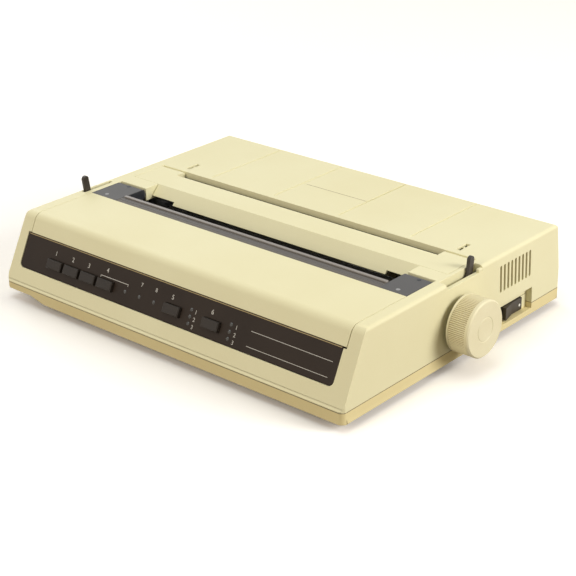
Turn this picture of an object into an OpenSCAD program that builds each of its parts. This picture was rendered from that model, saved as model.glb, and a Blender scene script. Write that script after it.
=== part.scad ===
// Desktop dot matrix printer: moulded case, hinged covers, platen, tractor, carriage and key panel.
// X runs to the right, Y to the back and Z up. The desk is Z = 0.

/* [Case] */
// Width of the case at its base
case_w = 360; // [346:1:390]
// Depth of the case at its base
case_d = 275; // [268:1:300]
// Height of the flat top above the desk
case_h = 70; // [68:0.5:78]
// Height of the feet below the case
foot_h = 6; // [4:0.5:7]
// Height of the lower case's wall, up to the seam
base_h = 9.4; // [9:0.2:11]
// Wall of the case mouldings
wall = 2.5; // [2:0.1:3]
// Plan radius of the case corners
corner_r = 5; // [4:0.5:10]
// Fillet along the top edges
edge_r = 3; // [2:0.25:4]
// Radius of the bend between the front face and the top
bend_r = 9; // [6:0.5:14]
// Inward lean of each side wall over its height
side_lean = 1.6; // [0.4:0.1:2]
// Forward lean of the rear wall over its height
rear_lean = 5.5; // [2:0.5:7]
// Slope of the front face from upright
front_slope = 26.5; // [22:0.5:28]
// Distance that the foot of the slope lies behind the case's front
slope_in = 1; // [0.5:0.1:5]
// Seam gap between neighbouring mouldings
seam = 0.5; // [0.3:0.05:0.7]

/* [Access cover] */
// Case border to the left of the cover
cover_in_l = 14; // [13:0.25:15]
// Case border to the right of the cover
cover_in_r = 12.6; // [12:0.2:14]
// Distance from the case front to the rear edge of the beige cover
cover_back = 87; // [82:0.5:92]
// Distance from the case front to the rear edge of the dark end plates
plate_back = 121.5; // [119:0.5:123]
// Width of the left end plate
plate_w_l = 29.5; // [26:0.5:32]
// Width of the right end plate
plate_w_r = 25.4; // [22:0.4:28]
// Depth of the smoked window strip
window_d = 15; // [13:0.5:19]
// Thickness of the cover and its plates
cover_t = 2.5; // [2:0.1:3]
// Radius of the cover's hinge barrel
barrel_r = 4.5; // [4:0.1:5]
// Radius of the cover's hinge pins
cover_pin_r = 2; // [1.6:0.1:2.4]

/* [Paper flap] */
// Distance from the case front to the flap's front edge
flap_front = 136.9; // [136:0.2:138]
// Depth of the flap strip in front of the paper slot
flap_strip = 24.7; // [23:0.5:26]
// Distance from the case front to the rear edge of the flap's ears
flap_back = 172.3; // [170:0.3:175]
// Width of each flap ear
ear_w = 27; // [22:0.5:30]
// Radius of the flap's hinge barrel
flap_barrel_r = 3; // [2.8:0.1:3.4]
// Radius of the flap's hinge pins
flap_pin_r = 1.5; // [1.2:0.1:1.7]
// Depth of the sloping lip below the top
lip_drop = 10.6; // [6:0.2:11]
// Distance that the lip's lower edge lies in front of the flap
lip_run = 10.4; // [7:0.2:11]
// Width of the cut-out at the lip's left end
notch_l = 26.5; // [22:0.5:36]
// Width of the cut-out near the lip's right end
notch_r = 18.5; // [12:0.5:22]

/* [Control panel] */
// Case border to the left of the panel
panel_in_l = 11; // [8:0.2:12]
// Case border to the right of the panel
panel_in_r = 15.4; // [14:0.2:18]
// Height of the panel's lower edge above the foot of the slope
panel_lo = 12.8; // [10:0.2:14]
// Height of the panel along the slope
panel_len = 29.2; // [28:0.2:31]
// Thickness of the panel
panel_t = 3; // [2.4:0.2:3.4]
// Radius of the panel's lower corners
panel_r = 4; // [2:0.25:6]
// Width of a key
key_w = 17; // [13:0.2:17.4]
// Height of a key along the slope
key_h = 7.6; // [6:0.2:9]
// Distance that a key stands out of the panel
key_out = 3.3; // [1.8:0.1:3.6]
// Travel of a key
key_travel = 1.5; // [1:0.1:1.8]
// Distance between the four feed keys
key_pitch = 19.75; // [19.5:0.25:21]
// Distance from the panel's left edge to the first key's middle
key_first = 40.5; // [30:0.5:45]
// Distance from the panel's left edge to the first lamp
lamp_first = 121.2; // [118:0.2:124]
// Distance between the three lamps
lamp_pitch = 15.8; // [14:0.2:16]
// Distance from the panel's left edge to the pitch key's middle
pitch_key_at = 173.6; // [171:0.2:176]
// Distance from the pitch key to the style key
style_key_step = 40.6; // [38:0.2:44]
// Height of the key row above the panel's lower edge
key_row = 10.6; // [10:0.2:12]

/* [Platen] */
// Distance from the case front to the platen's axis
platen_back = 135.7; // [134:0.3:137]
// Depth of the platen's axis below the top
platen_drop = 34; // [33:0.25:35]
// Radius of the rubber platen
platen_r = 15; // [14:0.1:15.2]
// Radius of the platen's steel shaft
shaft_r = 4; // [3:0.25:4.5]
// Distance between the platen's end and the side of the paper opening
platen_inset = 8.5; // [7:0.5:12]
// Radius of the paper knob
knob_r = 22.4; // [19:0.2:23]
// Width of the paper knob
knob_w = 19.4; // [14:0.2:22]
// Distance that the knob's outer face stands out from the case
knob_reach = 23; // [20:0.5:26]
// Number of grip ribs round the knob
knob_ribs = 90; // [48:6:108]

/* [Paper feed] */
// Module of the gear teeth
gear_m = 1; // [0.9:0.05:1.02]
// Teeth of the platen gear
platen_teeth = 36; // [34:1:37]
// Teeth of the tractor gear
tractor_teeth = 29; // [28:1:30]
// Teeth of the intermediate gear
mid_teeth = 24; // [22:1:25]
// Teeth of the motor pinion
pinion_teeth = 14; // [14:1:16]
// Width of a gear
gear_w = 4; // [3:0.25:4.5]
// Pins round a tractor wheel
sprocket_pins = 6; // [6:1:6]
// Spacing of the paper's sprocket holes
hole_pitch = 12.7; // [12.3:0.1:13]
// Distance from each tractor wheel to the platen's end
sprocket_in = 9; // [6:0.5:16]

/* [Carriage] */
// Distance from the platen's axis forward to the carriage shaft
carriage_fwd = 43.7; // [42:0.3:46]
// Depth of the carriage shaft below the platen's axis
carriage_low = 14; // [13.5:0.25:15]
// Radius of the carriage shaft
guide_r = 4; // [3:0.25:4.5]
// Width of the carriage
carriage_w = 40; // [34:1:44]
// Distance from the left side frame to the middle of the carriage at rest
home_in = 43.5; // [43:0.5:52]
// Width of the ribbon cartridge
ribbon_w = 70; // [60:1:72]
// Height of the ribbon cartridge
ribbon_h = 11; // [9:0.5:12]
// Radius of a belt pulley
pulley_r = 6; // [5:0.25:6.5]
// Gap between the print head and the platen
head_gap = 1.5; // [1.3:0.05:2]

/* [Levers] */
// Width of a lever's finger tab
tab_w = 6; // [5:0.25:7]
// Thickness of a lever
lever_t = 3; // [2.4:0.2:3.2]
// Height of the bail lever's tab above the top
bail_up = 13.4; // [10:0.2:15]
// Height of the release lever's tab above the top
release_up = 9.2; // [7:0.2:12]
// Angle that the bail turns through
bail_turn = 25; // [20:1:26]

/* [Right side] */
// Number of vent slots
vent_count = 9; // [5:1:10]
// Spacing of the vent slots
vent_pitch = 4.96; // [4.6:0.1:5.2]
// Width of a vent slot
vent_w = 2.4; // [1.8:0.1:2.8]
// Height of a vent slot
vent_h = 22; // [16:0.5:24]
// Distance from the case front to the first vent slot
vent_first = 190.6; // [188:0.5:193]
// Depth of the power switch recess
recess_in = 5.6; // [5:0.1:6.5]
// Distance from the case front to the middle of the switch
switch_back = 212; // [210:0.5:214]
// Length of the rocker
rocker_l = 26; // [22:0.5:28]
// Height of the rocker
rocker_h = 10.4; // [9:0.2:12]

/* [Hidden] */
$fn = 96;

// Case colours
beige = [0.92, 0.89, 0.76];
base_beige = [0.86, 0.81, 0.64];
dark_panel = [0.2, 0.18, 0.16];
slate = [0.3, 0.32, 0.35];
steel = [0.72, 0.74, 0.76];
black = [0.1, 0.1, 0.1];
board_green = [0.1, 0.35, 0.2];

run = 0.05;                          // radial clearance of a shaft in its bore
clear = 0.3;                         // clearance between faces that move past each other
big = 500;                           // reach of a cutting block
mid_x = -knob_reach / 2;             // the knob makes the outline one-sided, so the case lies left of centre
seam_z = foot_h + base_h;
side_x = case_w / 2;
floor_z = foot_h + wall;
slope_z = seam_z + 2.2;              // foot of the sloping front face
lean = atan(rear_lean / (case_h - foot_h));
tip = atan(side_lean / (case_h - foot_h));

// Distance from the case front as a Y coordinate
function yf(d) = d - case_d / 2;
// Span of the given size about a middle
function around(c, size) = [c - size / 2, c + size / 2];

// Left and right edges of the covers and the paper opening
cover_x0 = -side_x + cover_in_l;
cover_x1 = side_x - cover_in_r;
open_x0 = cover_x0 + plate_w_l;
open_x1 = cover_x1 - plate_w_r;
paper_x = (open_x0 + open_x1) / 2;
panel_x0 = -side_x + panel_in_l;
panel_x1 = side_x - panel_in_r;

// Hinge axes of the cover and the flap, as [y, z]
cover_axis = [yf(plate_back) - barrel_r, case_h - barrel_r];
flap_axis = [yf(flap_back) - flap_barrel_r, case_h - flap_barrel_r];
web_t = 3.4;                         // hinge webs beside the top openings
web_low = 9;                         // their depth

// Mechanism places, as [y, z]
platen_at = [yf(platen_back), case_h - platen_drop];
platen_x0 = open_x0 + platen_inset;
platen_x1 = open_x1 - platen_inset;
frame_t = 2;
frame_x0 = open_x0 - 5.5;            // inner faces of the side frames
frame_x1 = open_x1 + 5.5;
tray_z = floor_z + 1.5;
tray_t = 1.2;
tray_top = tray_z + tray_t;

function polar(c, r, a) = [c[0] + r * cos(a), c[1] + r * sin(a)];
function pitch_r(n) = n * gear_m / 2;
tractor_dir = 20;                    // directions of the gear train, from the back upwards
mid_dir = -20;
pinion_dir = 10;
tractor_at = polar(platen_at, pitch_r(platen_teeth + tractor_teeth), tractor_dir);
mid_at = polar(platen_at, pitch_r(platen_teeth + mid_teeth), mid_dir);
pinion_at = polar(mid_at, pitch_r(mid_teeth + pinion_teeth), pinion_dir);
sprocket_r = sprocket_pins * hole_pitch / (2 * PI);
motor_r = 14;

// Phase that puts a follower's tooth gap on the driver's tooth
function mesh_turn(n1, turn1, n2, dir) = dir + 180 - 360 / n2 * (0.5 - (dir - turn1) * n1 / 360);
mid_turn = mesh_turn(platen_teeth, 0, mid_teeth, mid_dir);
tractor_turn = mesh_turn(platen_teeth, 0, tractor_teeth, tractor_dir);
pinion_turn = mesh_turn(mid_teeth, mid_turn, pinion_teeth, pinion_dir);
mid_gear_x = frame_x0 - frame_t - 1.5;       // right faces of the two gear planes
tractor_gear_x = mid_gear_x - gear_w - 0.8;

// Carriage, belt and bail places
guide_at = [platen_at[0] - carriage_fwd, platen_at[1] - carriage_low];
carriage_x = frame_x0 + home_in;
deck_z = guide_at[1] + 16.3;                 // underside of the carriage's front deck
deck_t = 2.5;
belt_y = guide_at[0] - 24;
belt_z = deck_z - 5.3;
belt_h = 4;
belt_t = 1.2;
drive_x = frame_x0 + 18.5;
idle_x = frame_x1 - 14;
rail_y = guide_at[0] - 40;
bail_pivot = [platen_at[0] - 25.7, platen_at[1] - 16];
bail_r = 4;
bail_shut = polar(platen_at, platen_r + bail_r + clear, 135);
bail_arm = norm(bail_shut - bail_pivot);
bail_open = polar(bail_pivot, bail_arm, atan2(bail_shut[1] - bail_pivot[1], bail_shut[0] - bail_pivot[0])
  + bail_turn);
press_at = [platen_at[0] + 14.3, platen_at[1] - 21];
press_roller = polar(platen_at, platen_r + 4 + clear, 260);
lever_x = -side_x + 7.1;                     // middle of the bail lever
release_x = side_x - 7;                      // middle of the release lever
slot_w = lever_t + 1;
bail_tab_y = yf(86.5);
bail_slot = [yf(84), yf(116)];
release_tab_y = yf(158);
release_slot = [yf(121), yf(166)];
dip_z = case_h - 4.5;                        // sunken border beside the release lever

// Grooves along the rear top
groove_x = [-111.3, -40.3, 29.9, 102.5];

// Power switch
recess_y = [yf(switch_back - 22.5), yf(switch_back + 22)];
recess_z = [seam_z - 4.7, seam_z + 13.3];
recess_x = side_x - recess_in;
rocker_wall = wall + 3;                      // the pivot's depth behind the recess's face
rocker_at = [recess_x - rocker_wall, yf(switch_back), seam_z + 1.4];

// Room behind the chassis
tray_y1 = pinion_at[0] + motor_r + 6;
rear_room = case_d / 2 - wall - tray_y1;
core_d = 0.57 * rear_room;                   // depth of the transformer

// Rear sockets
inlet_x = side_x - 60;
inlet_z = seam_z + 17;
inlet_w = 28;
inlet_h = 22;
port_x = -side_x + 80;
port_z = seam_z + 14;
port_w = 76;
port_h = 16;
screw_x = side_x - 13;
screw_y = [yf(36), case_d / 2 - 14];
foot_x = side_x - 30;
foot_y = [yf(28), case_d / 2 - 30];

// Extrudes a [y, z] outline from x0 to x1
module along_x(x0, x1) {
  translate([x0, 0, 0]) rotate([90, 0, 90]) linear_extrude(x1 - x0) children();
}

// Extrudes an [x, z] outline from y0 to y1
module along_y(y0, y1) {
  translate([0, y1, 0]) rotate([90, 0, 0]) linear_extrude(y1 - y0) children();
}

// A round bar along X at [y, z]
module bar_x(at, r, x0, x1) {
  translate([x0, at[0], at[1]]) rotate([0, 90, 0]) cylinder(h = x1 - x0, r = r);
}

module box(x, y, z) {
  translate([x[0], y[0], z[0]]) cube([x[1] - x[0], y[1] - y[0], z[1] - z[0]]);
}

// Moves the finished piece so that the whole outline is centred
module placed() {
  translate([mid_x, 0, 0]) children();
}

module round_rect(w, d, r) {
  square([w - 2 * r, d], center = true);
  square([w, d - 2 * r], center = true);
  for (x = [-1, 1], y = [-1, 1]) translate([x * (w / 2 - r), y * (d / 2 - r)]) circle(r = r);
}

// Slope of the front face and lean of the rear wall, moved in by g
function front_line(z, g) = yf(slope_in) + (z - slope_z) * tan(front_slope) + g / cos(front_slope);
function rear_line(z, g) = case_d / 2 - (z - foot_h) * tan(lean) - g / cos(lean);
function side_line(z, g) = side_x - (z - foot_h) * tan(tip) - g / cos(tip);

// Side view of the case, every face moved in by g
module side_view(g) {
  r1 = max(bend_r - g, 0.6);
  r2 = max(edge_r - g, 0.6);
  z1 = case_h - g - r1;
  z2 = case_h - g - r2;
  c1 = [front_line(z1, g) + r1 / cos(front_slope), z1];
  c2 = [rear_line(z2, g) - r2 / cos(lean), z2];
  polygon([[yf(0) + g, foot_h + g], [yf(0) + g, seam_z + 0.8], [yf(0) + 0.9 + g, seam_z + 1.6],
    [front_line(slope_z + 1, g), slope_z + 1], polar(c1, r1, 180 - front_slope), [c1[0], case_h - g],
    [c2[0], case_h - g], polar(c2, r2, lean), [rear_line(foot_h + g, g), foot_h + g]]);
  translate(c1) circle(r = r1);
  translate(c2) circle(r = r2);
}

// Front view of the case, every face moved in by g
module end_view(g) {
  r = max(edge_r - g, 0.6);
  z = case_h - g - r;
  x = side_line(z, g) - r / cos(tip);
  polygon([[-side_line(foot_h, g), foot_h + g], [-x - r * cos(tip), z + r * sin(tip)], [-x, case_h - g],
    [x, case_h - g], [x + r * cos(tip), z + r * sin(tip)], [side_line(foot_h, g), foot_h + g]]);
  for (s = [-1, 1]) translate([s * x, z]) circle(r = r);
}

// The case as a block with rounded corners, every face moved in by g
module case_block(g) {
  intersection() {
    along_x(-side_x, side_x) side_view(g);
    along_y(-case_d / 2, case_d / 2) end_view(g);
    linear_extrude(case_h + 1) round_rect(case_w - 2 * g, case_d - 2 * g, corner_r - g);
  }
}

// Frame on the sloping front: X right, Y up the slope from its foot, Z out of the face
module on_front() {
  translate([0, yf(slope_in), slope_z]) rotate([90 - front_slope, 0, 0]) children();
}

module panel_outline(grow) {
  x0 = panel_x0 - grow;
  x1 = panel_x1 + grow;
  y0 = panel_lo - grow;
  y1 = panel_lo + panel_len;
  r = panel_r + grow;
  translate([x0, y0 + r]) square([x1 - x0, y1 - y0 - r]);
  translate([x0 + r, y0]) square([x1 - x0 - 2 * r, r + 1]);
  for (x = [x0 + r, x1 - r]) translate([x, y0 + r]) circle(r = r);
}

// Recess of the power switch, grown by g
module switch_recess(g)
  box([recess_x - g, side_x + 5], [recess_y[0] - g, recess_y[1] + g], [recess_z[0] - g, recess_z[1] + g]);

// Long hole for the switch in the recess's back wall
switch_slot_h = rocker_h + 0.8;
module switch_hole()
  box([recess_x - wall - 1, recess_x + 1], recess_y, around(rocker_at[2], switch_slot_h));

module screw_posts(r, z0, z1) {
  for (s = [-1, 1], y = screw_y) translate([s * screw_x, y, z0]) cylinder(h = z1 - z0, r = r);
}

module slot_y(w, l) {
  square([l - w, w], center = true);
  for (s = [-1, 1]) translate([s * (l - w) / 2, 0]) circle(d = w, $fn = 24);
}

// Lower case: a shallow tub with switch recess, screw wells, tray posts and floor vents
module lower_case() placed() color(base_beige) difference() {
  union() {
    difference() {
      case_block(0);
      difference() {
        case_block(wall);
        intersection() {
          switch_recess(wall);
          case_block(0);
        }
      }
    }
    intersection() {
      case_block(0);
      union() {
        screw_posts(5.5, foot_h, seam_z);
        box([-side_x + 1, -side_x + 48], [yf(1), yf(28.5)], [foot_h + 1, foot_h + 3.8 + wall]);
        for (x = [frame_x0 + 12, paper_x, frame_x1 - 12], y = [rail_y + 8, tractor_at[0] + 20])
          translate([x, y, floor_z - 1]) cylinder(h = tray_z - floor_z + 1, r = 5);
        for (y = [yf(60), yf(190)]) box([-side_x + 1, side_x - 1], [y, y + 1.5], [floor_z - 1, floor_z + 1]);
      }
    }
  }
  translate([-big, -big, seam_z]) cube(2 * big);
  switch_recess(0);
  switch_hole();
  screw_posts(1.7, 0, big);
  screw_posts(3.6, 0, foot_h + 3);
  // finger relief under the front left corner
  along_y(yf(-1), yf(26)) polygon([[-side_x - 1, foot_h - 1], [-side_x - 1, foot_h + 3.8],
    [-side_x + 30, foot_h + 3.8], [-side_x + 46, foot_h - 0.01], [-side_x + 46, foot_h - 1]]);
  for (k = [0 : 11]) translate([side_x - 90 + k * 6, case_d / 2 - 66, foot_h - 1])
    linear_extrude(wall + 3) rotate(90) slot_y(2.6, 30);
  for (k = [0 : 11]) translate([-side_x + 60 + k * 6, case_d / 2 - 66, foot_h - 1])
    linear_extrude(wall + 3) rotate(90) slot_y(2.6, 30);
}

// Upper case: the shell with every opening, the hinge webs, lever slots, vents and screw posts
module upper_case() placed() color(beige) difference() {
  union() {
    difference() {
      case_block(0);
      difference() {
        case_block(wall);
        intersection() {
          switch_recess(wall);
          case_block(0);
        }
      }
    }
    intersection() {
      case_block(0);
      union() {
        for (s = [-1, 1], y = screw_y) {
          translate([s * screw_x, y, seam_z]) cylinder(h = case_h - 13 - seam_z, r = 5);
          box(s < 0 ? [-side_x + 1, -screw_x] : [screw_x, side_x - 1], around(y, 1.6), [seam_z, case_h - 16]);
        }
        // hinge webs and lever pockets
        box([cover_x0 - seam / 2 - web_t, cover_x0 - seam / 2], [cover_axis[0] - 8, flap_axis[0] + 3.4],
          [case_h - web_low, case_h - 1]);
        box([cover_x1 + seam / 2, cover_x1 + seam / 2 + web_t], [cover_axis[0] - 8, flap_axis[0] + 3.4],
          [case_h - web_low, case_h - 1]);
        box([release_x + slot_w / 2, side_x - 1], [release_slot[0] - 2, release_slot[1] + 4],
          [dip_z - wall, dip_z]);
        box([release_x - slot_w / 2 - 1, side_x - 1], [release_slot[1], release_slot[1] + 2.5],
          [dip_z - wall, case_h - 1]);
        box([release_x - slot_w / 2 - 1, side_x - 1], [release_slot[0] - 2.5, release_slot[0]],
          [dip_z - wall, case_h - 1]);
        // end walls of the paper opening
        for (x = [open_x0 - wall, open_x1])
          box([x, x + wall], [yf(plate_back) + seam, yf(flap_front) - seam / 2], [case_h - 11, case_h - 1]);
        for (x = [[cover_x0 - 1, open_x0], [open_x1, cover_x1 + 1]])
          box(x, [yf(plate_back) + seam, yf(plate_back) + seam + 2], [case_h - web_low, case_h - 1]);
        // paper lip behind the entry slot
        box([cover_x0 - 1, cover_x1 + 1], [yf(flap_back) + seam, yf(flap_back) + seam + wall],
          [case_h - 5.6, case_h - 1]);
      }
    }
    // bearing boss of the release lever
    bar_x(platen_at, 9, release_x - lever_t / 2 - 1, side_x - 1);
  }
  translate([-big, -big, seam_z - 2 * big]) cube(2 * big);
  switch_recess(0);
  switch_hole();
  screw_posts(1.5, 0, seam_z + 16);
  // front panel and access cover
  on_front() translate([0, 0, -wall - 0.01]) linear_extrude(wall + 20) panel_opening();
  intersection() {
    box([cover_x0 - seam / 2, cover_x1 + seam / 2], [yf(-5), yf(plate_back) + seam], [slope_z, big]);
    union() {
      on_front() translate([-big, panel_lo + panel_len - 1, -60]) cube([2 * big, big, 100]);
      box([-big, big], [yf(40), yf(plate_back) + seam], [case_h - 12, big]);
    }
  }
  // paper opening, flap and entry slot
  box([open_x0, open_x1], [yf(plate_back) - 1, yf(flap_front)], [case_h - 30, big]);
  box([cover_x0 - seam / 2, cover_x1 + seam / 2], [yf(flap_front) - seam / 2, yf(flap_back) + seam],
    [case_h - 30, big]);
  // hinge bores
  for (x = [[cover_x0 - 6, cover_x0 + 1], [cover_x1 - 1, cover_x1 + 6]]) {
    bar_x(cover_axis, cover_pin_r + run, x[0], x[1]);
    bar_x(flap_axis, flap_pin_r + run, x[0], x[1]);
  }
  // lever slots, with the sunken border beside the right one
  box([lever_x - slot_w / 2, lever_x + slot_w / 2], bail_slot, [case_h - 15, big]);
  box([release_x - slot_w / 2, release_x + slot_w / 2], release_slot, [case_h - 30, big]);
  box([release_x - slot_w / 2, big], [release_slot[0], release_slot[1]], [dip_z, big]);
  // platen shaft hole
  bar_x(platen_at, shaft_r + 2, side_x - 20, side_x + 5);
  // side vents
  for (k = [0 : vent_count - 1])
    translate([side_x - 8, yf(vent_first) + k * vent_pitch, case_h - 20])
      rotate([0, 90, 0]) linear_extrude(20) slot_y(vent_w, vent_h);
  // rear sockets, rear vents, top grooves, hook slots and the rear cover's place
  box(around(inlet_x, inlet_w), [case_d / 2 - 12, case_d / 2 + 5], around(inlet_z, inlet_h));
  box(around(port_x, port_w), [case_d / 2 - 12, case_d / 2 + 5], around(port_z, port_h));
  for (k = [0 : 15])
    translate([-30 + k * 6, case_d / 2 + 5, case_h - 26]) rotate([90, 90, 0]) linear_extrude(20)
      slot_y(2.6, 22);
  for (x = groove_x) box([x - 0.6, x + 0.6], [yf(177.5), case_d / 2 + 5], [case_h - 0.8, big]);
  for (x = [-side_x + 37, side_x - 33.5]) box([x - 2, x + 2], [yf(179), yf(193)], [case_h - 5, big]);
  box([groove_x[1] + 0.6, groove_x[2] - 0.6], [yf(214.7), case_d / 2 + 5], [case_h - 1.6, big]);
  box([groove_x[1] + 5, groove_x[2] - 5], [yf(219), case_d / 2 - 14], [case_h - 8, big]);
}

module panel_opening() {
  grow = seam / 2;
  panel_outline(grow);
  translate([panel_x0 - grow, panel_lo + panel_len - 1]) square([panel_x1 - panel_x0 + 2 * grow, 1 + seam]);
}

// Removable cover in the middle of the rear top
module rear_cover() placed() color(beige) {
  x0 = groove_x[1] + 0.6 + seam / 2;
  x1 = groove_x[2] - 0.6 - seam / 2;
  intersection() {
    case_block(0);
    box([x0, x1], [yf(214.7) + seam / 2, case_d / 2], [case_h - 1.6, case_h]);
  }
  for (x = [x0 + 5, x1 - 11]) box([x, x + 6], [yf(219.4), yf(222)], [case_h - 7, case_h - 1.2]);
}

module rubber_feet() placed() color(black)
  for (s = [-1, 1], y = foot_y) translate([s * foot_x, y, 0]) {
    cylinder(h = 1.2, r1 = 8, r2 = 9);
    translate([0, 0, 1.2]) cylinder(h = foot_h - 1.2, r = 9);
  }

module case_screws() placed() color(steel)
  for (s = [-1, 1], y = screw_y) translate([s * screw_x, y, foot_h + 1]) difference() {
    union() {
      cylinder(h = 2, r = 3.2);
      cylinder(h = base_h + 13, r = 1.45);
    }
    for (a = [0, 90]) rotate(a) translate([-2, -0.4, -1]) cube([4, 0.8, 2]);
  }

// Middles of the six keys across the panel
key_x = [for (k = [0 : 3]) panel_x0 + key_first + k * key_pitch];
mode_key_x = [panel_x0 + pitch_key_at, panel_x0 + pitch_key_at + style_key_step];
lamp_x = [for (k = [0 : 2]) panel_x0 + lamp_first + k * lamp_pitch];
key_y = panel_lo + key_row;
face_n = -0.4;                               // the panel lies a little below the case's face
back_n = face_n - panel_t;
board_n = back_n - 8.6;

module at_keys() for (x = concat(key_x, mode_key_x)) translate([x, key_y, 0]) children();
module at_lamps() {
  for (x = lamp_x) translate([x, key_y + 0.2, 0]) children();
  for (x = mode_key_x, k = [-1, 0, 1]) translate([x + key_w / 2 + 9.5, key_y + k * 5.4, 0]) children();
}

// Dark front panel with its key and lamp holes and a flange behind the case
module control_panel() placed() color(dark_panel) on_front() difference() {
  union() {
    translate([0, 0, back_n]) linear_extrude(panel_t) panel_outline(-seam / 2);
    intersection() {
      translate([0, 0, back_n]) linear_extrude(-wall - back_n) panel_outline(3);
      translate([-big, panel_lo - 4, -20]) cube([2 * big, panel_len + 4 - seam / 2, 40]);
    }
    for (x = [panel_x0 + 20, panel_x0 + 145, panel_x1 - 86]) translate([x, key_y + 8, board_n + 1.6])
      cylinder(h = back_n - board_n - 1, r = 3);
  }
  at_keys() translate([0, 0, -20]) linear_extrude(40)
    square([key_w + 2 * clear, key_h + 2 * clear], center = true);
  at_lamps() translate([0, 0, -20]) cylinder(h = 40, r = 1.5 + run, $fn = 32);
}

// Board behind the panel with a switch under each key
module panel_board() placed() color(board_green) on_front() {
  translate([panel_x0 + 12, panel_lo - 1, board_n]) cube([panel_x1 - panel_x0 - 86, panel_len - 5, 1.6]);
  at_keys() {
    translate([-3, -3, board_n + 1.6]) cube([6, 6, 3]);
    translate([0, 0, board_n + 4.6]) cylinder(h = 0.8, r = 1.6, $fn = 24);
  }
  translate([panel_x0 + 205, panel_lo + 2, board_n - 5]) cube([30, 6, 5]);
}

module indicator_lenses() placed() color([0.3, 0.75, 0.3]) on_front() at_lamps()
  translate([0, 0, board_n + 1.6]) {
    cylinder(h = face_n - board_n - 1.6, r = 1.5, $fn = 32);
    translate([0, 0, face_n - board_n - 1.6]) cylinder(h = 0.5, r1 = 1.5, r2 = 0.9, $fn = 32);
  }

// A key cap with its retaining flange and stem
module key_cap(x) on_front() translate([x, key_y, 0]) {
  top_n = face_n + key_out;
  low_n = back_n - 0.1;
  translate([0, 0, low_n]) linear_extrude(top_n - 0.5 - low_n) square([key_w, key_h], center = true);
  translate([0, 0, top_n - 0.5]) linear_extrude(0.5) square([key_w - 1, key_h - 1], center = true);
  translate([0, 0, low_n - 1.2]) linear_extrude(1.2) square([key_w + 2.4, key_h + 2.4], center = true);
}

module line_feed_key() placed() color(black) key_cap(key_x[0]);
module form_feed_key() placed() color(black) key_cap(key_x[1]);
module top_set_key() placed() color(black) key_cap(key_x[2]);
module online_key() placed() color(black) key_cap(key_x[3]);
module pitch_key() placed() color(black) key_cap(mode_key_x[0]);
module style_key() placed() color(black) key_cap(mode_key_x[1]);

// Hinged cover from the panel's edge over the bend to the window, with its rear ledge and side skirts
module access_cover() placed() color(beige) {
  x0 = cover_x0 + seam / 2;
  x1 = cover_x1 - seam / 2;
  intersection() {
    difference() {
      case_block(0);
      case_block(cover_t);
    }
    box([x0, x1], [yf(0), yf(cover_back)], [slope_z, case_h]);
    union() {
      on_front() translate([-big, panel_lo + panel_len + seam / 2, -60]) cube([2 * big, big, 100]);
      box([x0, x1], [yf(45), yf(cover_back)], [case_h - 10, case_h]);
    }
  }
  mid_z = case_h - cover_t / 2;
  low_z = case_h - cover_t;
  box([x0 + 2, x1 - 2], [yf(cover_back) - 7, yf(cover_back) - 0.5], [low_z - 2, mid_z]);
  box([x0 + 2, x1 - 2], [yf(cover_back) - 7, yf(cover_back) + 6], [low_z - 2, low_z]);
  for (x = [x0, x1 - 2]) box([x, x + 2], [yf(42), yf(cover_back)], [low_z - 5, mid_z]);
  for (x = [paper_x - 80, paper_x, paper_x + 80])
    box([x, x + 1.6], [yf(40), yf(cover_back) - 6], [low_z - 2, mid_z]);
}

// Smoked strip between the end plates, its rear edge the paper's tear bar
module cover_window() placed() color([0.25, 0.23, 0.22, 0.7]) {
  y0 = yf(cover_back) + 0.05;
  y1 = yf(cover_back) + window_d;
  z0 = case_h - cover_t;
  along_x(open_x0, open_x1) polygon([[y0, z0], [y1 - 0.8, z0], [y1, z0 + 0.6],
    [y1 - 3.4, case_h - 0.2], [y0 + 2, case_h - 0.2], [y0, case_h - 0.5]]);
}

// Dark plates at both ends of the window, with hinge barrels and pins
module cover_end_plates() placed() color(slate) {
  y0 = yf(cover_back) + 0.05;
  for (side = [[cover_x0 + seam / 2, open_x0, -1], [open_x1, cover_x1 - seam / 2, 1]]) {
    inner = side[2] < 0 ? side[1] : side[0];
    outer = side[2] < 0 ? side[0] : side[1];
    box([side[0], side[1]], [y0, cover_axis[0]], [case_h - cover_t, case_h]);
    bar_x(cover_axis, barrel_r, side[0], side[1]);
    box([min(inner, inner - side[2] * -2), max(inner, inner - side[2] * -2)],
      [yf(cover_back) + window_d + 1, cover_axis[0]], [case_h - 7, case_h - cover_t]);
    bar_x(cover_axis, cover_pin_r, min(outer, outer + side[2] * web_t), max(outer, outer + side[2] * web_t));
  }
}

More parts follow.
